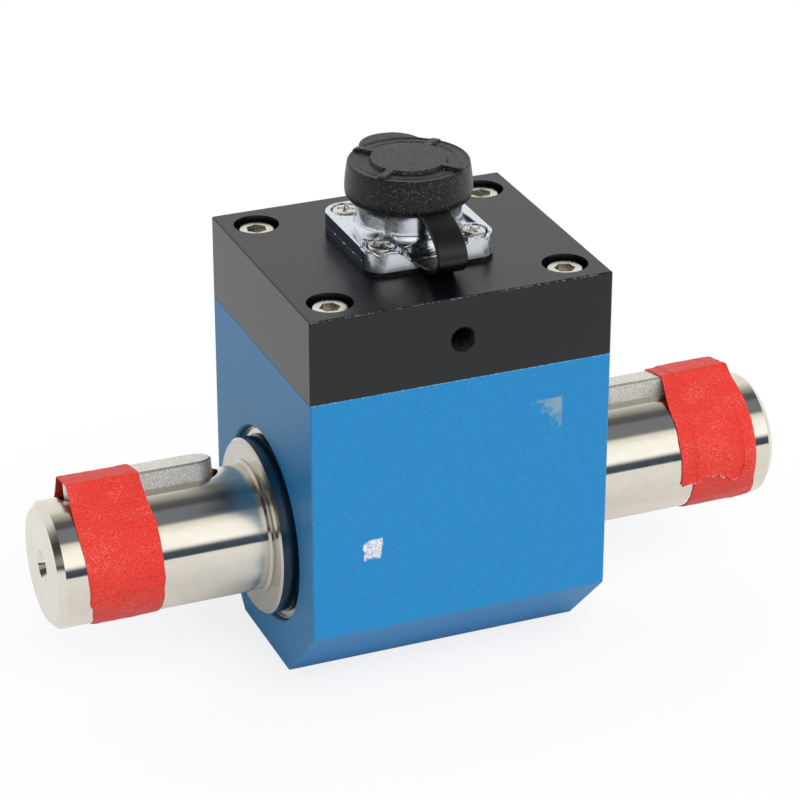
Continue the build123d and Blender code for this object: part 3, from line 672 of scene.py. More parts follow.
@dataclass
class CoverScrews:
    """Four M4 socket screws in the cover's counterbores."""

    span: tuple[float, float] = (51.4, 42.8)
    top: float = 86.6
    seat: float = 82.6
    radius: float = 3.7
    foot_round: float = 0.2
    top_round: float = 0.26
    flat_inner: float = 2.6         # radius where the flat top ends and the socket's mouth starts
    across_flats: float = 3.85
    socket_wall: tuple[tuple[float, float], ...] = (   # depth and share of the hexagon's width, inwards
        (0.0, 1.03), (0.05, 1.0), (0.3, 0.995), (1.0, 0.99), (1.7, 0.985), (2.3, 0.98), (2.3, 0.7),
        (2.7, 0.0),
    )
    turns: tuple[float, ...] = (21.0, 47.0, 12.0, 33.0)
    steps: int = 144

    def head(self, centre: tuple[float, float], turn: float) -> Patch:
        """A flat head whose inner rows form a hexagonal socket.

        The hexagon's distance at an angle is half its width over the cosine of the angle from the nearest
        flat.

        Args:
            centre: The screw's place.
            turn: Angle of its socket in degrees.

        Returns:
            The head's surface.
        """
        outside = rounded([(0, self.seat, 0), (self.radius, self.seat, self.foot_round),
                           (self.radius, self.top, self.top_round), (self.flat_inner, self.top, 0.0)])
        angle = whole_turn(self.steps)
        sector = np.abs(angle % (math.pi / 3) - math.pi / 6)
        flat = self.across_flats / 2 / np.cos(math.pi / 6 - sector)
        depth, share = np.array(self.socket_wall).T[..., None]
        hole = polar(share * flat, angle, self.top - depth)
        grid = np.concatenate([turned(divided(outside, 0.5), self.steps), hole])
        cos, sin = math.cos(math.radians(turn)), math.sin(math.radians(turn))
        spin = np.array([[cos, sin, 0], [-sin, cos, 0], [0, 0, 1]])
        return Patch(grid @ spin + np.array([*centre, 0.0]))

    def build(self, wardrobe: "Wardrobe") -> None:
        """Makes the four screws and puts them in place of their nodes."""
        half_x, half_y = self.span[0] / 2, self.span[1] / 2
        for number, turn in enumerate(self.turns, 1):
            low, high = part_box(f"cover_screw_{number}")
            middle = (low + high) / 2
            centre = (math.copysign(half_x, middle.x), math.copysign(half_y, middle.y))
            screw = make_piece(f"cover_screw_head_{number}", [self.head(centre, turn)], sharp=30)
            wardrobe.dress(screw, "screw_steel")
            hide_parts(f"cover_screw_{number}")
            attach(screw, "stator")


@dataclass
class ConnectorShell:
    """The connector's cast shell: a flange with side strips, scooped front and back, and a threaded neck."""

    base: float = 88.5
    land: float = 92.1
    strip_rise: float = 0.8
    half_side: float = 14.3
    screw_place: float = 10.0
    neck: float = 11.0
    neck_low: float = 97.0          # down to here the neck's wall is drawn straight
    foot: float = 2.4
    strip_inner: tuple[tuple[float, float], ...] = (   # y and distance from the middle of their inner edges
        (-9.0, 12.3), (-7.7, 12.2), (-3.9, 12.0), (0.0, 11.6), (3.9, 10.2), (7.3, 8.5), (10.0, 6.0),
    )
    strip_slope: float = 0.3        # width of those edges' slope
    pad: tuple[float, float] = (4.0, 4.5)              # distances from a screw between which its pad falls
    low_corner: tuple[float, float] = (-13.1, -7.9)    # x and y where the low part's slanting edge passes
    low_slope: float = 1.1
    low_share: float = 0.45         # share of the rise that the low part lacks
    wander: float = 0.25            # how far cast edges wander
    ridge: float = 89.9             # height of the mould's parting ridge on the wall
    ridge_proud: float = 0.07
    scoop_radius: float = 3.3
    scoop_depth: float = 1.9
    scoop_ends: tuple[float, float] = (4.9, 6.6)
    scoop_ragged: float = 0.03
    front_lean: float = 9.5
    front_uneven: float = 0.008
    edge_round: float = 0.4
    recess: float = 3.05
    recess_depth: float = 0.9
    ring: float = 3.32              # radius of the fine rim round a recess
    ring_rise: float = 0.12
    thread: float = 11.5
    thread_depth: float = 0.45
    thread_low: float = 98.7
    thread_pitch: float = 1.0
    rim: float = 104.2
    rim_chamfer: float = 0.3        # inside the neck's upper end
    rim_edge: float = 0.8           # outside it
    socket: float = 9.3
    socket_floor: float = 95.2
    insert: float = 7.32
    spigot: float = 8.6
    spigot_end: float = 82.5
    steps: int = 480

    def outline(self, angle: np.ndarray) -> np.ndarray:
        """Distance from the middle to the flange's edge at each angle.

        On the flats it is the half side over the larger of cosine and sine. At a corner it is the root of the
        quadratic for a circle about the screw's place.
        """
        u, v = np.abs(np.cos(angle)), np.abs(np.sin(angle))
        flat = self.half_side / np.maximum(u, v)
        c, corner = self.screw_place, self.half_side - self.screw_place
        inside = np.maximum((c * (u + v)) ** 2 - 2 * c**2 + corner**2, 0)
        return np.where(flat * np.minimum(u, v) > c, c * (u + v) + np.sqrt(inside), flat)

    def height(self, x: np.ndarray, y: np.ndarray) -> np.ndarray:
        """Height of the flange's upper side at each place.

        It is the larger of the land with the neck's foot, a concave arc, and the raised strips and pads, less
        the scoops, less the screws' recesses, plus a fine rim round each recess and a cast unevenness.
        """
        inward = np.clip(self.neck + self.foot - np.hypot(x, y), 0, self.foot)
        foot = self.land + self.foot - np.sqrt(np.maximum(self.foot**2 - inward**2, 0))
        to_screw = np.hypot(np.abs(x) - self.screw_place, np.abs(y) - self.screw_place)
        pad = 1 - rise(to_screw, *self.pad)
        wander = self.wander * ripple(np.stack([x, y, 0 * x], -1), (1.2, 1.2, 1.2), 61, 16)
        strip = rise(np.abs(x) - np.interp(y, *zip(*self.strip_inner)), 0.0, self.strip_slope)
        level = self.strip_rise * np.maximum(strip, pad)
        past = y - self.low_slope * (x - self.low_corner[0]) - self.low_corner[1] + wander
        level = level * (1 - self.low_share * (x < 0) * (1 - rise(past, -0.15, 0.15)))
        high = np.maximum(foot, self.land + level)
        back = np.abs(np.abs(y) - self.half_side)
        cut = np.sqrt(np.maximum(self.scoop_radius**2 - back**2, 0)) - (self.scoop_radius - self.scoop_depth)
        between = 1 - rise(np.abs(x) + 0.25 * wander, *self.scoop_ends)
        high = high - np.maximum(cut, 0) * between
        ragged = ripple(np.stack([x, y, high], -1), (1.6, 0.7, 0.7), 62, 30)
        high = high + self.scoop_ragged * ragged * between * (cut > 0)
        high = high + self.ring_rise * (1 - rise(np.abs(to_screw - self.ring), 0.08, 0.2))
        sunk = 1 - rise(to_screw, self.recess - 0.08, self.recess + 0.08)
        return high + sunk * (self.land + self.strip_rise - self.recess_depth - high)

    def flange(self, angle: np.ndarray) -> np.ndarray:
        """The flange's upper side and wall, from the neck out, round the edge and down to the base.

        In front the wall and its rim are drawn in by the tangent of the lean times the height over the base,
        over the sine of the angle. The parting ridge stands out from the other walls.
        """
        edge = self.outline(angle)
        tall = self.land + self.strip_rise - self.base
        forward = (-edge * np.sin(angle) - self.screw_place) / (self.half_side - self.screw_place)
        slope = math.tan(math.radians(self.front_lean)) * rise(forward, 0.0, 1.0)
        slope = slope / np.maximum(np.abs(np.sin(angle)), 0.6)
        rim = edge - slope * tall
        far = self.neck + (rim - self.edge_round - self.neck) * np.linspace(0, 1, 72)[:, None]
        x, y = far * np.cos(angle), far * np.sin(angle)
        top = np.stack([x, y, self.height(x, y)], -1)
        turn = np.linspace(0, np.pi / 2, 6)[1:, None]
        bend = rim - self.edge_round * (1 - np.sin(turn))
        corner = top[-1:, :, 2] - self.edge_round * (1 - np.cos(turn))
        low = self.base + (corner[-1:] - self.base) * np.linspace(1, 0, 42)[1:, None]
        from_ridge = np.abs(low - self.ridge - 0.06 * np.sin(9 * angle))
        proud = self.ridge_proud * (1 - rise(from_ridge, 0.06, 0.16)) * (forward < 0)
        leaning = edge - slope * np.minimum(low - self.base, tall)
        side = polar(np.concatenate([bend, leaning + proud]), angle, np.concatenate([corner, low]))
        flange = np.concatenate([top, side])
        front = rise(-flange[..., 1], 12.6, 13.6)
        flange[..., 1] += self.front_uneven * ripple(flange, (1.6, 1.6, 20.0), 63, 30) * front
        return flange

    def shell(self) -> Patch:
        """The shell as one closed surface: up the bore, over the thread, down the neck and round the flange.

        The thread's radius is a triangle wave of the height less the angle's share of a pitch.
        """
        angle = whole_turn(self.steps)
        inside = np.array([[self.insert, self.spigot_end], [self.insert, self.socket_floor],
                           [self.socket, self.socket_floor], [self.socket, self.rim - self.rim_chamfer],
                           [self.socket + self.rim_chamfer, self.rim],
                           [self.thread - self.rim_edge, self.rim]])
        high = np.linspace(self.rim - self.rim_edge, self.thread_low, 44)[:, None]
        wave = np.abs((high / self.thread_pitch - angle / (2 * np.pi)) % 1.0 * 2 - 1)
        threads = polar(self.thread - self.thread_depth * wave, angle, high)
        wall = np.array([[self.neck, self.thread_low - 0.3], [self.neck, self.neck_low]])
        under = np.array([[self.spigot, self.base], [self.spigot, self.spigot_end]])
        grids = [turned(inside, self.steps), threads, turned(wall, self.steps), self.flange(angle),
                 turned(under, self.steps)]
        return Patch(np.concatenate(grids), rows_close=True)

    def build(self, wardrobe: "Wardrobe") -> None:
        """Makes the shell and puts it in place of its node."""
        shell = make_piece("connector_cast_shell", [self.shell()], sharp=32)
        wardrobe.dress(shell, "connector_plating")
        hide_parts("connector_shell")
        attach(shell, "stator")


@dataclass
class ConnectorScrews:
    """Four small domed screws with cross recesses on the connector's flange."""

    span: float = 20.0
    rim: float = 92.86
    seat: float = 92.0
    radius: float = 2.78
    dome: float = 0.5
    edge_fall: float = 0.14                         # how far the outer edge is rounded down
    slot_half: tuple[float, float] = (0.26, 0.5)    # from a slot's middle line to its wall's foot and top
    slot_reach: tuple[float, float] = (1.4, 1.85)   # radii where a slot starts to end and has ended
    slot_depth: float = 0.8
    slot_point: float = 0.4                         # how much deeper the cross is in its middle
    dish: float = 0.12                              # depth of the shallow dish round the cross
    turns: tuple[float, ...] = (20.0, 62.0, 8.0, 35.0)
    steps: int = 96

    def head(self, centre: tuple[float, float], turn: float) -> Patch:
        """A domed head with a cross pressed into it.

        The dome falls with the square of the radius. The cross is the larger of two slots, each a smooth step
        of the distance from its middle line, which deepens towards the centre.
        """
        edge = self.radius - np.array([0.16, 0.06, 0.0])
        radii = np.concatenate([[0.0], np.linspace(0.12, 2.45, 28), edge])
        radius, around = np.meshgrid(radii, whole_turn(self.steps), indexing="ij")
        turned_by = around - math.radians(turn)
        across = np.minimum(np.abs(radius * np.sin(turned_by)), np.abs(radius * np.cos(turned_by)))
        high = self.rim + self.dome * (1 - (radius / self.radius) ** 2)
        high = high - self.edge_fall * rise(radius, self.radius - 0.18, self.radius)
        slot = (1 - rise(across, *self.slot_half)) * (1 - rise(radius, *self.slot_reach))
        high = high - slot * (self.slot_depth + self.slot_point * (1 - rise(radius, 0.0, 1.2)))
        high = high - self.dish * (1 - rise(radius, 1.3, 1.9))
        low = self.seat + 0.02
        side = turned(np.array([[self.radius, self.rim - 0.5], [self.radius, low], [0, low]]), self.steps)
        return Patch(np.concatenate([polar(radius, around, high), side]) + np.array([*centre, 0.0]))

    def build(self, wardrobe: "Wardrobe") -> None:
        """Makes the four screws and puts them in place of their nodes."""
        half = self.span / 2
        for number, turn in enumerate(self.turns, 1):
            low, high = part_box(f"connector_screw_{number}")
            middle = (low + high) / 2
            centre = (math.copysign(half, middle.x), math.copysign(half, middle.y))
            screw = make_piece(f"connector_screw_head_{number}", [self.head(centre, turn)], sharp=50)
            wardrobe.dress(screw, "connector_screw_steel")
            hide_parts(f"connector_screw_{number}")
            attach(screw, "stator")


@dataclass
class BearingRings:
    """The outer rings of the two ball bearings, with a race inside and a fine groove round the face."""

    axis_height: float = 28.5
    face: float = 31.5
    width: float = 7.0
    inner: float = 19.1
    outer: float = 21.0
    chamfer: float = 0.3
    inner_round: float = 0.12
    groove: tuple[float, float] = (20.3, 20.62)
    groove_depth: float = 0.5
    race_depth: float = 0.5
    race_half: float = 1.4
    steps: int = 240

    def ring(self, side: Side) -> Patch:
        """One ring: a closed profile of radius and place along X, carried round the shaft's axis.

        Args:
            side: The end of the shaft that it stands at.

        Returns:
            The ring's surface.
        """
        face, back, low, high = self.face, self.face - self.width, *self.groove
        floor, rim = face - self.groove_depth, self.outer - self.chamfer
        race = np.linspace(-1.0, 1.0, 13)
        bowl = np.stack([self.inner + self.race_depth * np.sqrt(1 - race**2),
                         (face + back) / 2 + self.race_half * race], -1)
        outline = rounded([(self.inner, face - 0.4, 0), (self.inner, face, self.inner_round),
                           (low, face, 0.05),
                           (low, floor, 0.04), (high, floor, 0.04), (high, face, 0.05), (rim, face, 0.03),
                           (self.outer, face - self.chamfer, 0.03), (self.outer, back + self.chamfer, 0.03),
                           (rim, back, 0.03), (self.inner, back, self.inner_round),
                           (self.inner, back + 0.4, 0)], 4)
        grid = turned(np.concatenate([outline, bowl]), self.steps)
        points = [side.value * grid[..., 2], grid[..., 0], grid[..., 1] + self.axis_height]
        return Patch(np.stack(points, -1), rows_close=True)

    def build(self, wardrobe: "Wardrobe") -> None:
        """Makes both rings and puts them in place of their nodes."""
        for side in Side:
            name = side.name.lower()
            ring = make_piece(f"bearing_ring_{name}", [self.ring(side)], sharp=25)
            wardrobe.dress(ring, "bearing_steel")
            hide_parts(f"bearing_outer_ring_{name}")
            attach(ring, "stator")


@dataclass
class SideTapThread:
    """The thread that shows in the tapped hole in the cover's front."""

    centre: tuple[float, float] = (0.0, 78.2)
    front: float = -28.7
    depth: float = 9.0
    root: float = 2.49
    crest: float = 2.2
    wall: float = 0.02      # thickness of the liner at the thread's roots
    mouth: float = 0.5      # depth over which the thread rises
    pitch: float = 0.8

    def liner(self) -> Patch:
        """A tube whose inner side is a screw thread.

        The inner radius is a triangle wave of the depth less a pitch for each turn, from root to crest.
        """
        angle = whole_turn(72)
        depth = np.linspace(0.0, self.depth, 120)[:, None]
        wave = np.abs(((depth - self.pitch * angle / (2 * np.pi)) / self.pitch) % 1.0 * 2 - 1)
        inner = self.root - self.wall - (self.root - self.crest) * wave * rise(depth, 0.0, self.mouth)
        outer = self.root + 0 * inner
        radius = np.concatenate([inner, outer[::-1]])
        far = np.concatenate([depth, depth[::-1]]) + 0 * radius
        x, z = self.centre
        points = [x + radius * np.cos(angle), self.front + far, z + radius * np.sin(angle)]
        return Patch(np.stack(points, -1), rows_close=True)

    def build(self, wardrobe: "Wardrobe") -> None:
        """Makes the thread inside the cover's hole."""
        thread = make_piece("side_tap_thread", [self.liner()], sharp=25)
        wardrobe.dress(thread, "cover_anodised", "tapped_aluminium")
        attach(thread, "stator")


@dataclass
class DustCap:
    """The rubber cap over the connector's neck and the strap that holds it."""

    bottom: float = 98.4
    belly: float = 100.6
    top: float = 106.3
    foot_radius: float = 12.7
    belly_radius: float = 13.25
    crown_radius: float = 12.6
    flat_radius: float = 12.0       # of the flat top
    edge_round: float = 0.32
    foot_round: float = 0.7
    inner_radius: float = 11.8
    roof: float = 104.5
    disc_radius: float = 8.0
    disc_rise: float = 0.51
    rib_angle: float = 40.0
    rib_width: float = 1.7
    ring_radius: float = 10.4       # of the faint ring on the top
    ring_rise: float = 0.1
    tab_radius: float = 6.8
    tab_reach: float = 9.2
    tab_under: float = 104.6
    recess: float = 0.2
    lug_face: float = 14.3
    lug_top: float = 100.2
    strap_width: float = 6.4
    strap_thickness: float = 1.35
    strap_round: float = 0.4
    strap_path: tuple[tuple[float, float], ...] = (   # y and height of points on the strap's middle line
        (-13.4, 88.3), (-15.2, 88.3), (-17.4, 88.85), (-19.5, 89.65), (-21.5, 90.6), (-22.8, 91.8),
        (-23.2, 93.3), (-22.6, 94.9), (-21.1, 96.5), (-19.1, 97.75), (-16.9, 98.65), (-14.9, 99.25),
        (-13.2, 99.4),
    )
    steps: int = 320

    def profile(self) -> np.ndarray:
        """Radius and height from the roof's middle inside, down, out and up to the middle of the top.

        Above and below the belly the wall draws in with a power of the distance from it.
        """
        inside = rounded([(0, self.roof, 0), (self.inner_radius, self.roof, 0.6),
                          (self.inner_radius, self.bottom, 0.25),
                          (self.foot_radius - self.foot_round, self.bottom, 0)])
        high = np.linspace(self.bottom, self.top - self.edge_round, 46)
        below = np.clip((self.belly - high) / (self.belly - self.bottom), 0, 1)
        above = np.clip((high - self.belly) / (self.top - self.belly), 0, 1)
        wall = (self.belly_radius - (self.belly_radius - self.foot_radius) * below**2
                - (self.belly_radius - self.crown_radius) * above**1.6)
        wall -= self.foot_round * (1 - rise(high, self.bottom - 1.0, self.bottom + 1.1)) * 1.1
        side = np.stack([wall, high], -1)
        over = rounded([(self.crown_radius, self.top - self.edge_round - 0.01, 0),
                        (self.crown_radius, self.top, self.edge_round), (self.flat_radius, self.top, 0)])[1:]
        flat = np.stack([np.linspace(self.flat_radius, 0.0, 82)[1:], np.full(81, self.top)], -1)
        return np.concatenate([divided(inside, 1.2), side, over, flat])

    def cap(self) -> Patch:
        """The cap as one closed surface.

        The profile is turned about Z. Near the top its radius grows to the pull tab's circle behind, and low
        in front it grows to the strap lug's flat face. The top rises by the disc, four ribs and a faint ring.
        """
        profile = self.profile()
        radius, around = np.meshgrid(profile[:, 0], whole_turn(self.steps), indexing="ij")
        cos, sin = np.cos(around), np.sin(around)
        high = profile[:, 1:2] + 0 * around
        order = np.arange(len(profile))[:, None]
        outer = order >= np.argmax(profile[:, 0] > self.inner_radius + 0.3)
        inside = self.tab_radius**2 - (self.tab_reach * cos) ** 2
        tab = self.tab_reach * sin + np.sqrt(np.maximum(inside, 0))
        tab = np.where((inside > 0) & (sin > 0), tab, 0.0)
        grow = 0.25 * np.logaddexp(0.0, (tab - self.crown_radius) / 0.25)
        share = outer * rise(high, self.tab_under - 0.06, self.tab_under + 0.06) * rise(radius, 8.4, 12.4)
        radius = radius + grow * share
        lug = self.lug_face / np.maximum(-sin, 0.3) - self.belly_radius
        half = self.strap_width / 2
        wide = 1 - rise(np.abs(self.lug_face * cos), half - 0.1, half + 0.35)
        share = outer * wide * (sin < 0) * (1 - rise(high, self.lug_top - 0.6, self.lug_top + 0.5))
        radius = radius + lug * share
        lift = self.disc_rise * (1 - rise(radius, self.disc_radius - 0.12, self.disc_radius + 0.12))
        half = self.rib_width / 2
        for quarter in range(4):
            turn = around - math.radians(self.rib_angle + 90 * quarter)
            far = np.where(np.cos(turn) > 0, np.abs(radius * np.sin(turn)), 99.0)
            lift = np.maximum(lift, self.disc_rise * (1 - rise(far, half - 0.1, half + 0.22)))
        lift = np.maximum(lift, self.ring_rise * (1 - rise(np.abs(radius - self.ring_radius), 0.2, 0.4)))
        lift = lift * (1 - 0.45 * rise(radius, 11.4, 12.6))
        lift = lift - self.recess * (1 - rise(radius, 11.75, 12.15)) * (1 - rise(lift, 0.0, 0.4))
        high = high + outer * lift * rise(high, self.top - 1.4, self.top - 0.1)
        grid = polar(radius, around, high)
        grid[..., 2] += outer * 0.03 * ripple(grid, (6, 6, 6), 3)
        return Patch(grid)

    def strap(self) -> Patch:
        """The strap: a flat section with rounded edges, carried out over the cover, round and up to the lug.

        The path is a Catmull-Rom curve: between two points it is the cubic whose end slopes are half the step
        from the point before to the point after.
        """
        knots = np.array(self.strap_path)
        ends = np.concatenate([2 * knots[:1] - knots[1:2], knots, 2 * knots[-1:] - knots[-2:-1]])
        t = np.linspace(0, 1, 6, endpoint=False)[None, :, None]
        before, here, on, after = (ends[i : len(ends) - 3 + i, None] for i in range(4))
        path = here + (on - before) / 2 * t + (before - 2.5 * here + 2 * on - after / 2) * t**2
        path = path + ((after - before) / 2 + 1.5 * (here - on)) * t**3
        path = np.concatenate([path.reshape(-1, 2), knots[-1:]])
        along = np.gradient(path, axis=0)
        along /= np.linalg.norm(along, axis=1)[:, None]
        out = np.stack([along[:, 1], -along[:, 0]], -1)
        half_w, half_t, edge = self.strap_width / 2, self.strap_thickness / 2, self.strap_round
        corners = [(0, -half_t, 0), (half_w, -half_t, edge), (half_w, half_t, edge), (-half_w, half_t, edge),
                   (-half_w, -half_t, edge), (0, -half_t, 0)]
        section = divided(rounded(corners, 5), 0.8)[:-1]
        grid = np.empty((len(path), len(section), 3))
        grid[..., 0] = section[:, 0]
        grid[..., 1:] = path[:, None] + section[None, :, 1:2] * out[:, None]
        first, last = (row.mean(1, keepdims=True).repeat(len(section), 1) for row in (grid[:1], grid[-1:]))
        return Patch(np.concatenate([first, grid, last]))

    def build(self, wardrobe: "Wardrobe") -> None:
        """Makes cap and strap. The cap goes with the cap's body and the strap stays in place, unattached."""
        cap = make_piece("rubber_dust_cap", [self.cap()], sharp=45)
        wardrobe.dress(cap, "rubber")
        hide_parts("dust_cap")
        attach(cap, "cap")
        strap = make_piece("rubber_cap_strap", [self.strap()], sharp=60)
        wardrobe.dress(strap, "rubber", "smooth_strap_rubber")
        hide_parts("cap_strap")
        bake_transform(strap)


@dataclass
class Tape:
    """Creped paper tape round both ends of the shaft and over their keys.

    Angles are taken about the shaft's axis from the key's middle, towards the front.
    """

    shaft_radius: float = 13.5
    key_half: float = 4.0
    key_top: float = 16.9
    lean: float = 13.7
    axis_height: float = 28.5
    thickness: float = 0.26
    pressed: float = 0.2        # how far the paper is pressed into the corner beside the key, from 0 to 1
    wrinkle: float = 0.055      # height of the fine wrinkles
    fold: float = 0.05          # height of the wide folds
    rows: int = 44              # from edge to edge
    columns: int = 420          # around a whole turn
    left_edge: tuple[tuple[float, float], ...] = (   # angle and place of the left tape's outer edge
        (-180, -73.3), (-120, -75.0), (-60, -75.4), (-20, -75.6), (20, -75.8), (45, -76.2), (70, -76.1),
        (105, -75.5), (122, -75.4), (125, -74.9), (138, -74.6), (165, -73.5), (180, -73.3),
    )
    over_edges: tuple[float, float] = (58.95, 73.9)  # places of the right upper layer's edges
    over_start: float = -168.0                       # angle at which that layer starts
    over_columns: int = 400
    tear: tuple[tuple[float, float], ...] = (        # place and angle of its torn end
        (58.9, 116), (60.8, 115), (62.2, 112.5), (64.3, 108), (67.5, 109), (70.2, 114), (71.9, 118),
        (72.9, 116), (74.0, 104),
    )

    def distance(self, angle: np.ndarray) -> np.ndarray:
        """Distance of the tape's inner side from the shaft's axis.

        It is the hull of the shaft's circle and the key's top: flat over the key, a straight line from the
        key's corner to where it touches the circle, pressed in between, and the circle elsewhere.
        """
        radius, wide, high = self.shaft_radius, self.key_half, self.key_top
        corner, far = math.atan2(wide, high), math.hypot(wide, high)
        touch = corner + math.acos(radius / far)
        size = np.abs((angle + np.pi) % (2 * np.pi) - np.pi)
        over_key = high / np.cos(np.minimum(size, 1.0))
        tent = np.where(size < corner, over_key, radius / np.cos(np.clip(touch - size, 0, 1.2)))
        dip = 1 - self.pressed * np.sin(np.pi * np.clip((size - corner) / (touch - corner), 0, 1))
        return np.where(size < touch, radius + (tent - radius) * dip, radius)

    def wander(self, angle: np.ndarray, size: Sequence[float], seed: int) -> np.ndarray:
        """How far an edge wanders along X in mm: a ripple over a circle near the shaft's."""
        return 0.1 * ripple(np.stack([0 * angle, 13 * np.sin(angle), 13 * np.cos(angle)], -1), size, seed)

    def paper(self, x: np.ndarray, angle: np.ndarray, stand: float | np.ndarray, seed: int,
              outer_shift: np.ndarray, inner_shift: float | np.ndarray) -> np.ndarray:
        """A creased layer as one grid: its outer side, and its inner side on the way back.

        The outer side adds the thickness, fine wrinkles that are long along X and short around it, and wide
        folds. The inner side follows their crests.

        Args:
            x: Places along X.
            angle: Angles in radians, for each column or each point.
            stand: Gap under the layer.
            seed: Number that picks the wrinkles. The folds take the next.
            outer_shift: What the outer side is moved outwards by.
            inner_shift: What the inner side is moved outwards by.

        Returns:
            The grid's points.
        """
        lean = math.radians(self.lean)
        up = np.array([0, math.sin(lean), math.cos(lean)])
        front = np.array([0, -math.cos(lean), math.sin(lean)])
        out = np.cos(angle)[..., None] * up + np.sin(angle)[..., None] * front
        along = x[..., None] * np.array([1.0, 0, 0])
        inner = self.distance(angle) + stand + 0 * x
        place = inner[..., None] * out + along
        crease = self.wrinkle * ripple(place, (3.2, 0.9, 0.9), seed, 60)
        crease = crease + self.fold * ripple(place, (9, 3.5, 3.5), seed + 1)
        outer = inner + self.thickness + crease + outer_shift
        inner = inner + 0.4 * np.maximum(crease, 0) + inner_shift
        centre = np.array([0, 0, self.axis_height])
        outside, inside = (far[..., None] * out + along + centre for far in (outer, inner))
        return np.concatenate([outside, inside[::-1]])

    def layer(self, start: np.ndarray, end: np.ndarray, angle: np.ndarray, stand: float, seed: int) -> Patch:
        """One whole turn of tape as a thin closed shell, thinned at both edges.

        Args:
            start: Place along X of one edge, for each angle.
            end: Place of the other edge.
            angle: Angles in radians.
            stand: Gap under the layer.
            seed: Number that picks the wrinkles.

        Returns:
            The shell's surface.
        """
        share = np.linspace(0, 1, self.rows)[:, None]
        edge = 1 - rise(np.minimum(share, 1 - share), 0.0, 0.03)
        grid = self.paper(start + (end - start) * share, angle, stand, seed, -0.08 * edge, 0.0)
        return Patch(grid, rows_close=True)

    def left(self) -> Patch:
        """One turn whose edge steps inwards where its end lies over its start, low in front."""
        angle = np.radians(np.linspace(-180, 180, self.columns, endpoint=False))
        degrees = np.degrees(angle)
        start = np.interp(degrees, *zip(*self.left_edge)) + self.wander(angle, (9, 5, 5), 21)
        end = -59.5 - 0.6 * (1 - rise(np.abs(degrees), 30, 60)) + self.wander(angle, (9, 4, 4), 22)
        return self.layer(start, end, angle, 0.05, 23)

    def right_under(self) -> Patch:
        """The lower layer: one turn further out along the shaft."""
        angle = np.radians(np.linspace(-180, 180, self.columns, endpoint=False))
        degrees = np.degrees(angle)
        start = 62.1 + 0.7 * rise(degrees, 118, 160) + self.wander(angle, (9, 5, 5), 31)
        start = start - 2.2 * (1 - rise(np.abs(degrees - 10), 25, 75))
        end = 77.0 - 1.1 * (1 - rise(np.abs(degrees), 13, 42)) + 1.1 * rise(degrees, 112, 150)
        return self.layer(start, end + self.wander(angle, (9, 4, 4), 32), angle, 0.03, 33)

    def right_over(self) -> Patch:
        """The upper layer: from low behind, over the key, to a ragged tear low in front.

        The tear is the layer's end drawn back by an angle that changes across the strip, so the angles differ
        from row to row. The torn end curls up, and so does the outer edge in front. The layer stands higher
        where it lies over the lower one.
        """
        low, high = self.over_edges
        share = np.linspace(0, 1, self.rows)
        x = low + (high - low) * share
        line = np.stack([x, 0 * x, 0 * x], -1)
        tear = np.radians(np.interp(x, *zip(*self.tear)) + 1.1 * ripple(line, (1.4, 1, 1), 41, 30))
        first = np.radians(self.over_start + 3 * ripple(line, (3, 1, 1), 42))
        round_share = np.linspace(0, 1, self.over_columns)
        angle = first[:, None] + (tear - first)[:, None] * round_share
        degrees = np.degrees(angle)
        start = low + 0.85 * (1 - rise(degrees, 13, 40)) + 0.5 * (1 - rise(degrees, -14, 13))
        end = high + 1.7 * (1 - rise(degrees, 13, 60))
        x = start + (end - start) * share[:, None] + self.wander(angle, (9, 5, 5), 43)
        curl = 0.25 * rise(round_share, 0.985, 1.0) + 0.22 * rise(x, end - 0.7, end) * rise(degrees, 30, 55)
        grid = self.paper(x, angle, 0.05 + 0.3 * rise(x, 61.6, 63.0), 44, curl, curl)
        middle = (grid + grid[::-1]) / 2
        grid = np.concatenate([middle[:, :1], grid, middle[:, -1:]], axis=1)
        return Patch(grid, rows_close=True, columns_close=False)

    def fray(self, over: Patch) -> Patch:
        """Loose pale fibres along the tear: a thin tube on the torn end whose thickness changes irregularly.

        Its middle line is the upper layer's last column, and each ring is a circle in the plane across it.
        """
        rows = over.points.shape[0] // 2
        line = divided(over.points[3:rows - 4, -2] / 2 + over.points[2 * rows - 4:rows + 3:-1, -2] / 2, 0.12)
        radius = 0.09 + 0.07 * np.abs(ripple(line, (0.5, 0.5, 0.5), 51, 30))
        radius[[0, -1]] = 0.0
        line = line + 0.08 * np.stack([ripple(line, (0.6, 0.6, 0.6), seed, 20) for seed in (52, 53, 54)], -1)
        turn = whole_turn(7)
        ring = np.stack([0 * turn, np.cos(turn), np.sin(turn)], -1)
        return Patch(line[:, None] + radius[:, None, None] * ring)

    def build(self, wardrobe: "Wardrobe") -> None:
        """Makes the tapes and puts them in place of their nodes."""
        left = make_piece("left_tape_turn", [self.left()], sharp=60)
        over = self.right_over()
        right = make_piece("right_tape_turns", [self.right_under(), over], sharp=60)
        fray = make_piece("right_tape_fray", [self.fray(over)], sharp=60)
        wardrobe.dress(fray, "paper_tape", "torn_paper_fibre")
        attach(fray, "rotor")
        for piece, node in ((left, "tape_left"), (right, "tape_right")):
            wardrobe.dress(piece, "paper_tape")
            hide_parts(node)
            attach(piece, "rotor")


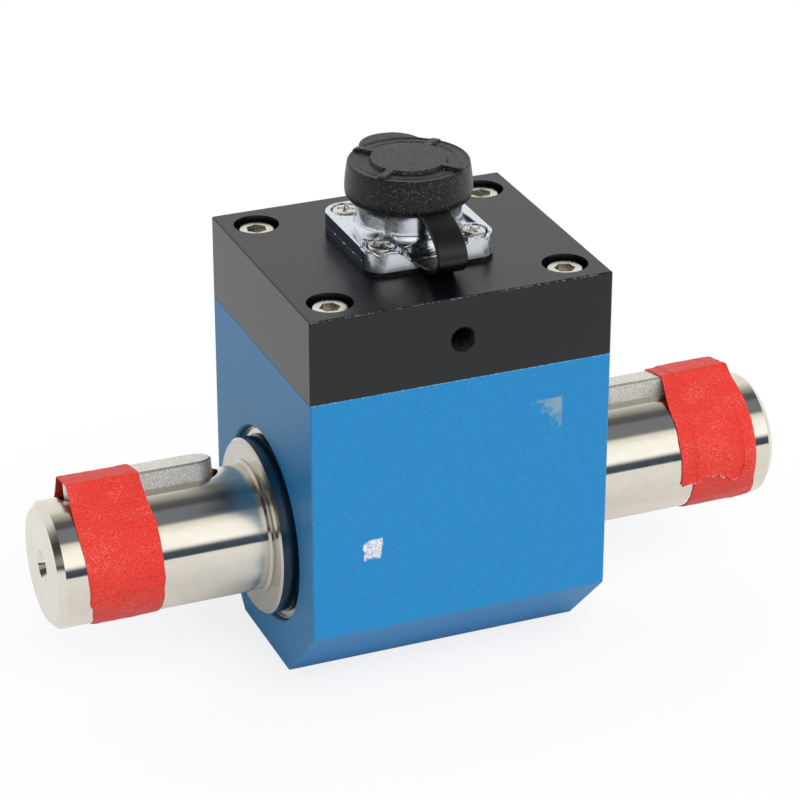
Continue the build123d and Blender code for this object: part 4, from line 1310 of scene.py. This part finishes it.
class Wardrobe:
    """Holds the finished materials and puts each on the node or piece that it belongs to."""

    def __init__(self) -> None:
        """Makes every material once."""
        self.materials = {finish.name: finish.material() for finish in FINISHES}

    def dress_nodes(self) -> None:
        """Gives each CAD node the finish of its slot in the record."""
        slots = {part["node"]: part["material_slot"] for part in frame["record"]["subparts"]}
        for name, node in frame["nodes"].items():
            node.data.materials.clear()
            node.data.materials.append(self.materials[SLOT_FINISH[slots[name]]])

    def dress(self, piece: bpy.types.Object, slot: str, finish: str | None = None) -> None:
        """Gives a new piece a finish.

        Args:
            piece: The piece.
            slot: Its slot in the record.
            finish: Name of the finish, where it isn't the slot's usual one.
        """
        piece.data.materials.append(self.materials[finish or SLOT_FINISH[slot]])


@dataclass
class Studio:
    """A pale floor, soft light and the camera at the photograph's place. Metres if nothing else is said."""

    camera_place: tuple[float, float, float] = (-0.23168, -0.56195, 0.35079)
    camera_right: tuple[float, float, float] = (0.9256, -0.3785, 0.0)
    camera_back: tuple[float, float, float] = (-0.3395, -0.8304, 0.4418)
    lens: float = 143.9             # mm
    sensor: float = 36.0            # width in mm
    clip: tuple[float, float] = (0.01, 50.0)
    floor_side: float = 2.2
    floor_tints: tuple[str, str] = ("#d8d8d8", "#efefef")       # for soft light, and where seen or mirrored
    footprint: tuple[float, float, float] = (33.0, 14.0, 0.0)   # half sides of what stands on it, in mm
    shade_reach: float = 48.0       # mm
    shade_power: float = 1.3
    seen_least: float = 0.78        # white share beside the object, where the camera sees the floor
    sky: tuple[tuple[float, ...], ...] = (   # degrees from the front horizon, and linear red, green and blue
        (-180, 0.62, 0.62, 0.62), (-4, 0.62, 0.62, 0.62), (-1.5, 0.03, 0.04, 0.06), (11, 0.05, 0.07, 0.10),
        (16, 0.62, 0.62, 0.62), (19, 0.84, 0.84, 0.84), (30, 0.84, 0.84, 0.84), (43, 0.79, 0.81, 0.79),
        (57, 0.60, 0.58, 0.54), (62, 0.14, 0.15, 0.17), (86, 0.14, 0.15, 0.18), (91, 0.07, 0.07, 0.08),
        (101, 0.08, 0.08, 0.08), (110, 0.22, 0.23, 0.23), (123, 0.42, 0.42, 0.40), (140, 0.62, 0.62, 0.62),
        (180, 0.62, 0.62, 0.62),
    )
    left_dim: tuple[float, ...] = (-0.75, -0.35, 0.4, 1.6)   # X parts of directions, and strengths from there
    white_from: tuple[float, float] = (120.0, 140.0)         # degrees where mirrored light turns white
    lamp_strength: float = 1.7
    lamp_spread: float = 50.0       # degrees
    lamp_from: tuple[float, float, float] = (0.2, -0.75, 1.0)

    def camera(self) -> None:
        """Places the camera: its axes are the right and back directions and their cross product."""
        right, back = Vector(self.camera_right).normalized(), Vector(self.camera_back).normalized()
        turn = Matrix((right, back.cross(right), back)).transposed().to_4x4()
        data = bpy.data.cameras.new("camera")
        data.lens, data.sensor_width = self.lens, self.sensor
        data.clip_start, data.clip_end = self.clip
        camera = bpy.data.objects.new("camera", data)
        camera.matrix_world = Matrix.Translation(self.camera_place) @ turn
        bpy.context.scene.collection.objects.link(camera)
        bpy.context.scene.camera = camera

    def floor(self) -> None:
        """A flat white square under the object that keeps its soft shadow.

        Where it is seen or mirrored it turns to pure white away from the object: the white share is one less
        the exponential of minus a power of the distance past the housing's footprint.
        """
        half = self.floor_side / 2
        mesh = bpy.data.meshes.new("floor")
        corners = [(-half, -half, 0), (half, -half, 0), (half, half, 0), (-half, half, 0)]
        mesh.from_pydata(corners, [], [(0, 1, 2, 3)])
        material = bpy.data.materials.new("white_floor")
        material.use_nodes = True
        tree = material.node_tree
        tree.nodes.clear()
        path = add(tree, "LightPath")
        rays = ("Camera", "Glossy", "Transmission")
        camera, glossy, clear = (path.outputs[f"Is {ray} Ray"] for ray in rays)
        mirror = add(tree, "Math", {0: glossy, 1: clear}, operation="MAXIMUM")
        at = add(tree, "VectorMath", {0: add(tree, "TexCoord").outputs["Object"]}, operation="ABSOLUTE")
        footprint = tuple(each * MM for each in self.footprint)
        past = add(tree, "VectorMath", {0: at, 1: footprint}, operation="SUBTRACT")
        past = add(tree, "VectorMath", {0: past, 1: (0.0, 0.0, 0.0)}, operation="MAXIMUM")
        away = add(tree, "VectorMath", {0: past}, operation="LENGTH").outputs["Value"]
        away = add(tree, "Math", {0: away, 1: self.shade_reach * MM}, operation="DIVIDE")
        away = add(tree, "Math", {0: away, 1: self.shade_power}, operation="POWER")
        minus = add(tree, "Math", {0: away, 1: -1.0}, operation="MULTIPLY")
        dark = add(tree, "Math", {0: minus}, operation="EXPONENT")
        white = add(tree, "Math", {0: 1.0, 1: dark}, operation="SUBTRACT")
        least = {0: white, 1: 1 - self.seen_least, 2: self.seen_least}
        seen_white = add(tree, "Math", least, operation="MULTIPLY_ADD")
        share = add(tree, "Math", {0: mirror, 1: white}, operation="MULTIPLY")
        share = add(tree, "Math", {0: camera, 1: seen_white, 2: share}, operation="MULTIPLY_ADD")
        seen = add(tree, "Math", {0: mirror, 1: camera}, operation="MAXIMUM")
        soft, plain = map(linear, self.floor_tints)
        colour = add(tree, "Mix", {FAC: seen, A: soft, B: plain}, data_type="RGBA")
        lit = add(tree, "BsdfDiffuse", {"Color": colour})
        glow = add(tree, "Emission", {"Color": (1.0, 1.0, 1.0, 1.0), "Strength": 1.0})
        both = add(tree, "MixShader", {0: share, 1: lit, 2: glow})
        add(tree, "OutputMaterial", {"Surface": both})
        mesh.materials.append(material)
        floor = bpy.data.objects.new("floor", mesh)
        bpy.context.scene.collection.objects.link(floor)

    def world(self) -> None:
        """The studio around the object: light by the direction's angle about X, from the front horizon up.

        The angle is the arc tangent of the height over the distance to the front. A softbox stands in front,
        the ceiling is dark and the backdrop is white, so turned steel shows bands with sharp edges.
        """
        world = bpy.data.worlds.new("studio")
        bpy.context.scene.world = world
        world.use_nodes = True
        tree = world.node_tree
        tree.nodes.clear()
        axis = add(tree, "SeparateXYZ", {0: add(tree, "TexCoord").outputs["Generated"]})
        front = add(tree, "Math", {0: axis.outputs[1], 1: -1.0}, operation="MULTIPLY")
        angle = add(tree, "Math", {0: axis.outputs[2], 1: front}, operation="ARCTAN2")
        share = add(tree, "MapRange", {VALUE: angle, LOW: -math.pi, HIGH: math.pi})
        stops = [((degrees + 180) / 360, (*colour, 1.0)) for degrees, *colour in self.sky]
        bands = add(tree, "ValToRGB", {0: share}, stops=stops)
        left, middle, dim, full = self.left_dim
        limits = {VALUE: axis.outputs[0], LOW: left, HIGH: middle, TO_LOW: dim, TO_HIGH: full}
        strength = add(tree, "MapRange", limits)
        path = add(tree, "LightPath")
        rays = ("Camera", "Glossy", "Transmission")
        camera, glossy, clear = (path.outputs[f"Is {ray} Ray"] for ray in rays)
        starts, whole = map(math.radians, self.white_from)
        back = add(tree, "MapRange", {VALUE: angle, LOW: starts, HIGH: whole})
        mirrored = add(tree, "Math", {0: glossy, 1: back}, operation="MULTIPLY")
        plain = add(tree, "Math", {0: camera, 1: clear}, operation="MAXIMUM")
        plain = add(tree, "Math", {0: plain, 1: mirrored}, operation="MAXIMUM")
        lit = add(tree, "Background", {"Color": bands, "Strength": strength})
        white = add(tree, "Background", {"Color": (1.0, 1.0, 1.0, 1.0), "Strength": 1.0})
        both = add(tree, "MixShader", {0: plain, 1: lit, 2: white})
        add(tree, "OutputWorld", {"Surface": both})

    def lamps(self) -> None:
        """One wide soft overhead light, from the front and right, that mirrors in nothing."""
        data = bpy.data.lights.new("overhead", "SUN")
        data.energy, data.angle = self.lamp_strength, math.radians(self.lamp_spread)
        lamp = bpy.data.objects.new("overhead", data)
        lamp.rotation_euler = Vector(self.lamp_from).to_track_quat("Z", "Y").to_euler()
        lamp.visible_glossy = False
        bpy.context.scene.collection.objects.link(lamp)

    def build(self) -> None:
        """Sets up everything around the object."""
        self.camera()
        self.floor()
        self.world()
        self.lamps()
        bpy.context.scene.view_settings.view_transform = "Standard"


def main() -> None:
    """Builds the studio and the object's sub-assemblies in order."""
    logging.basicConfig(level=logging.INFO, format="%(name)s: %(message)s")
    Studio().build()
    wardrobe = Wardrobe()
    wardrobe.dress_nodes()
    assemblies = (CoverScrews(), ConnectorShell(), ConnectorScrews(), BearingRings(), SideTapThread(),
                  DustCap(), Tape())
    for assembly in assemblies:
        assembly.build(wardrobe)
    log.info("sizes written")


if __name__ == "__main__":
    main()
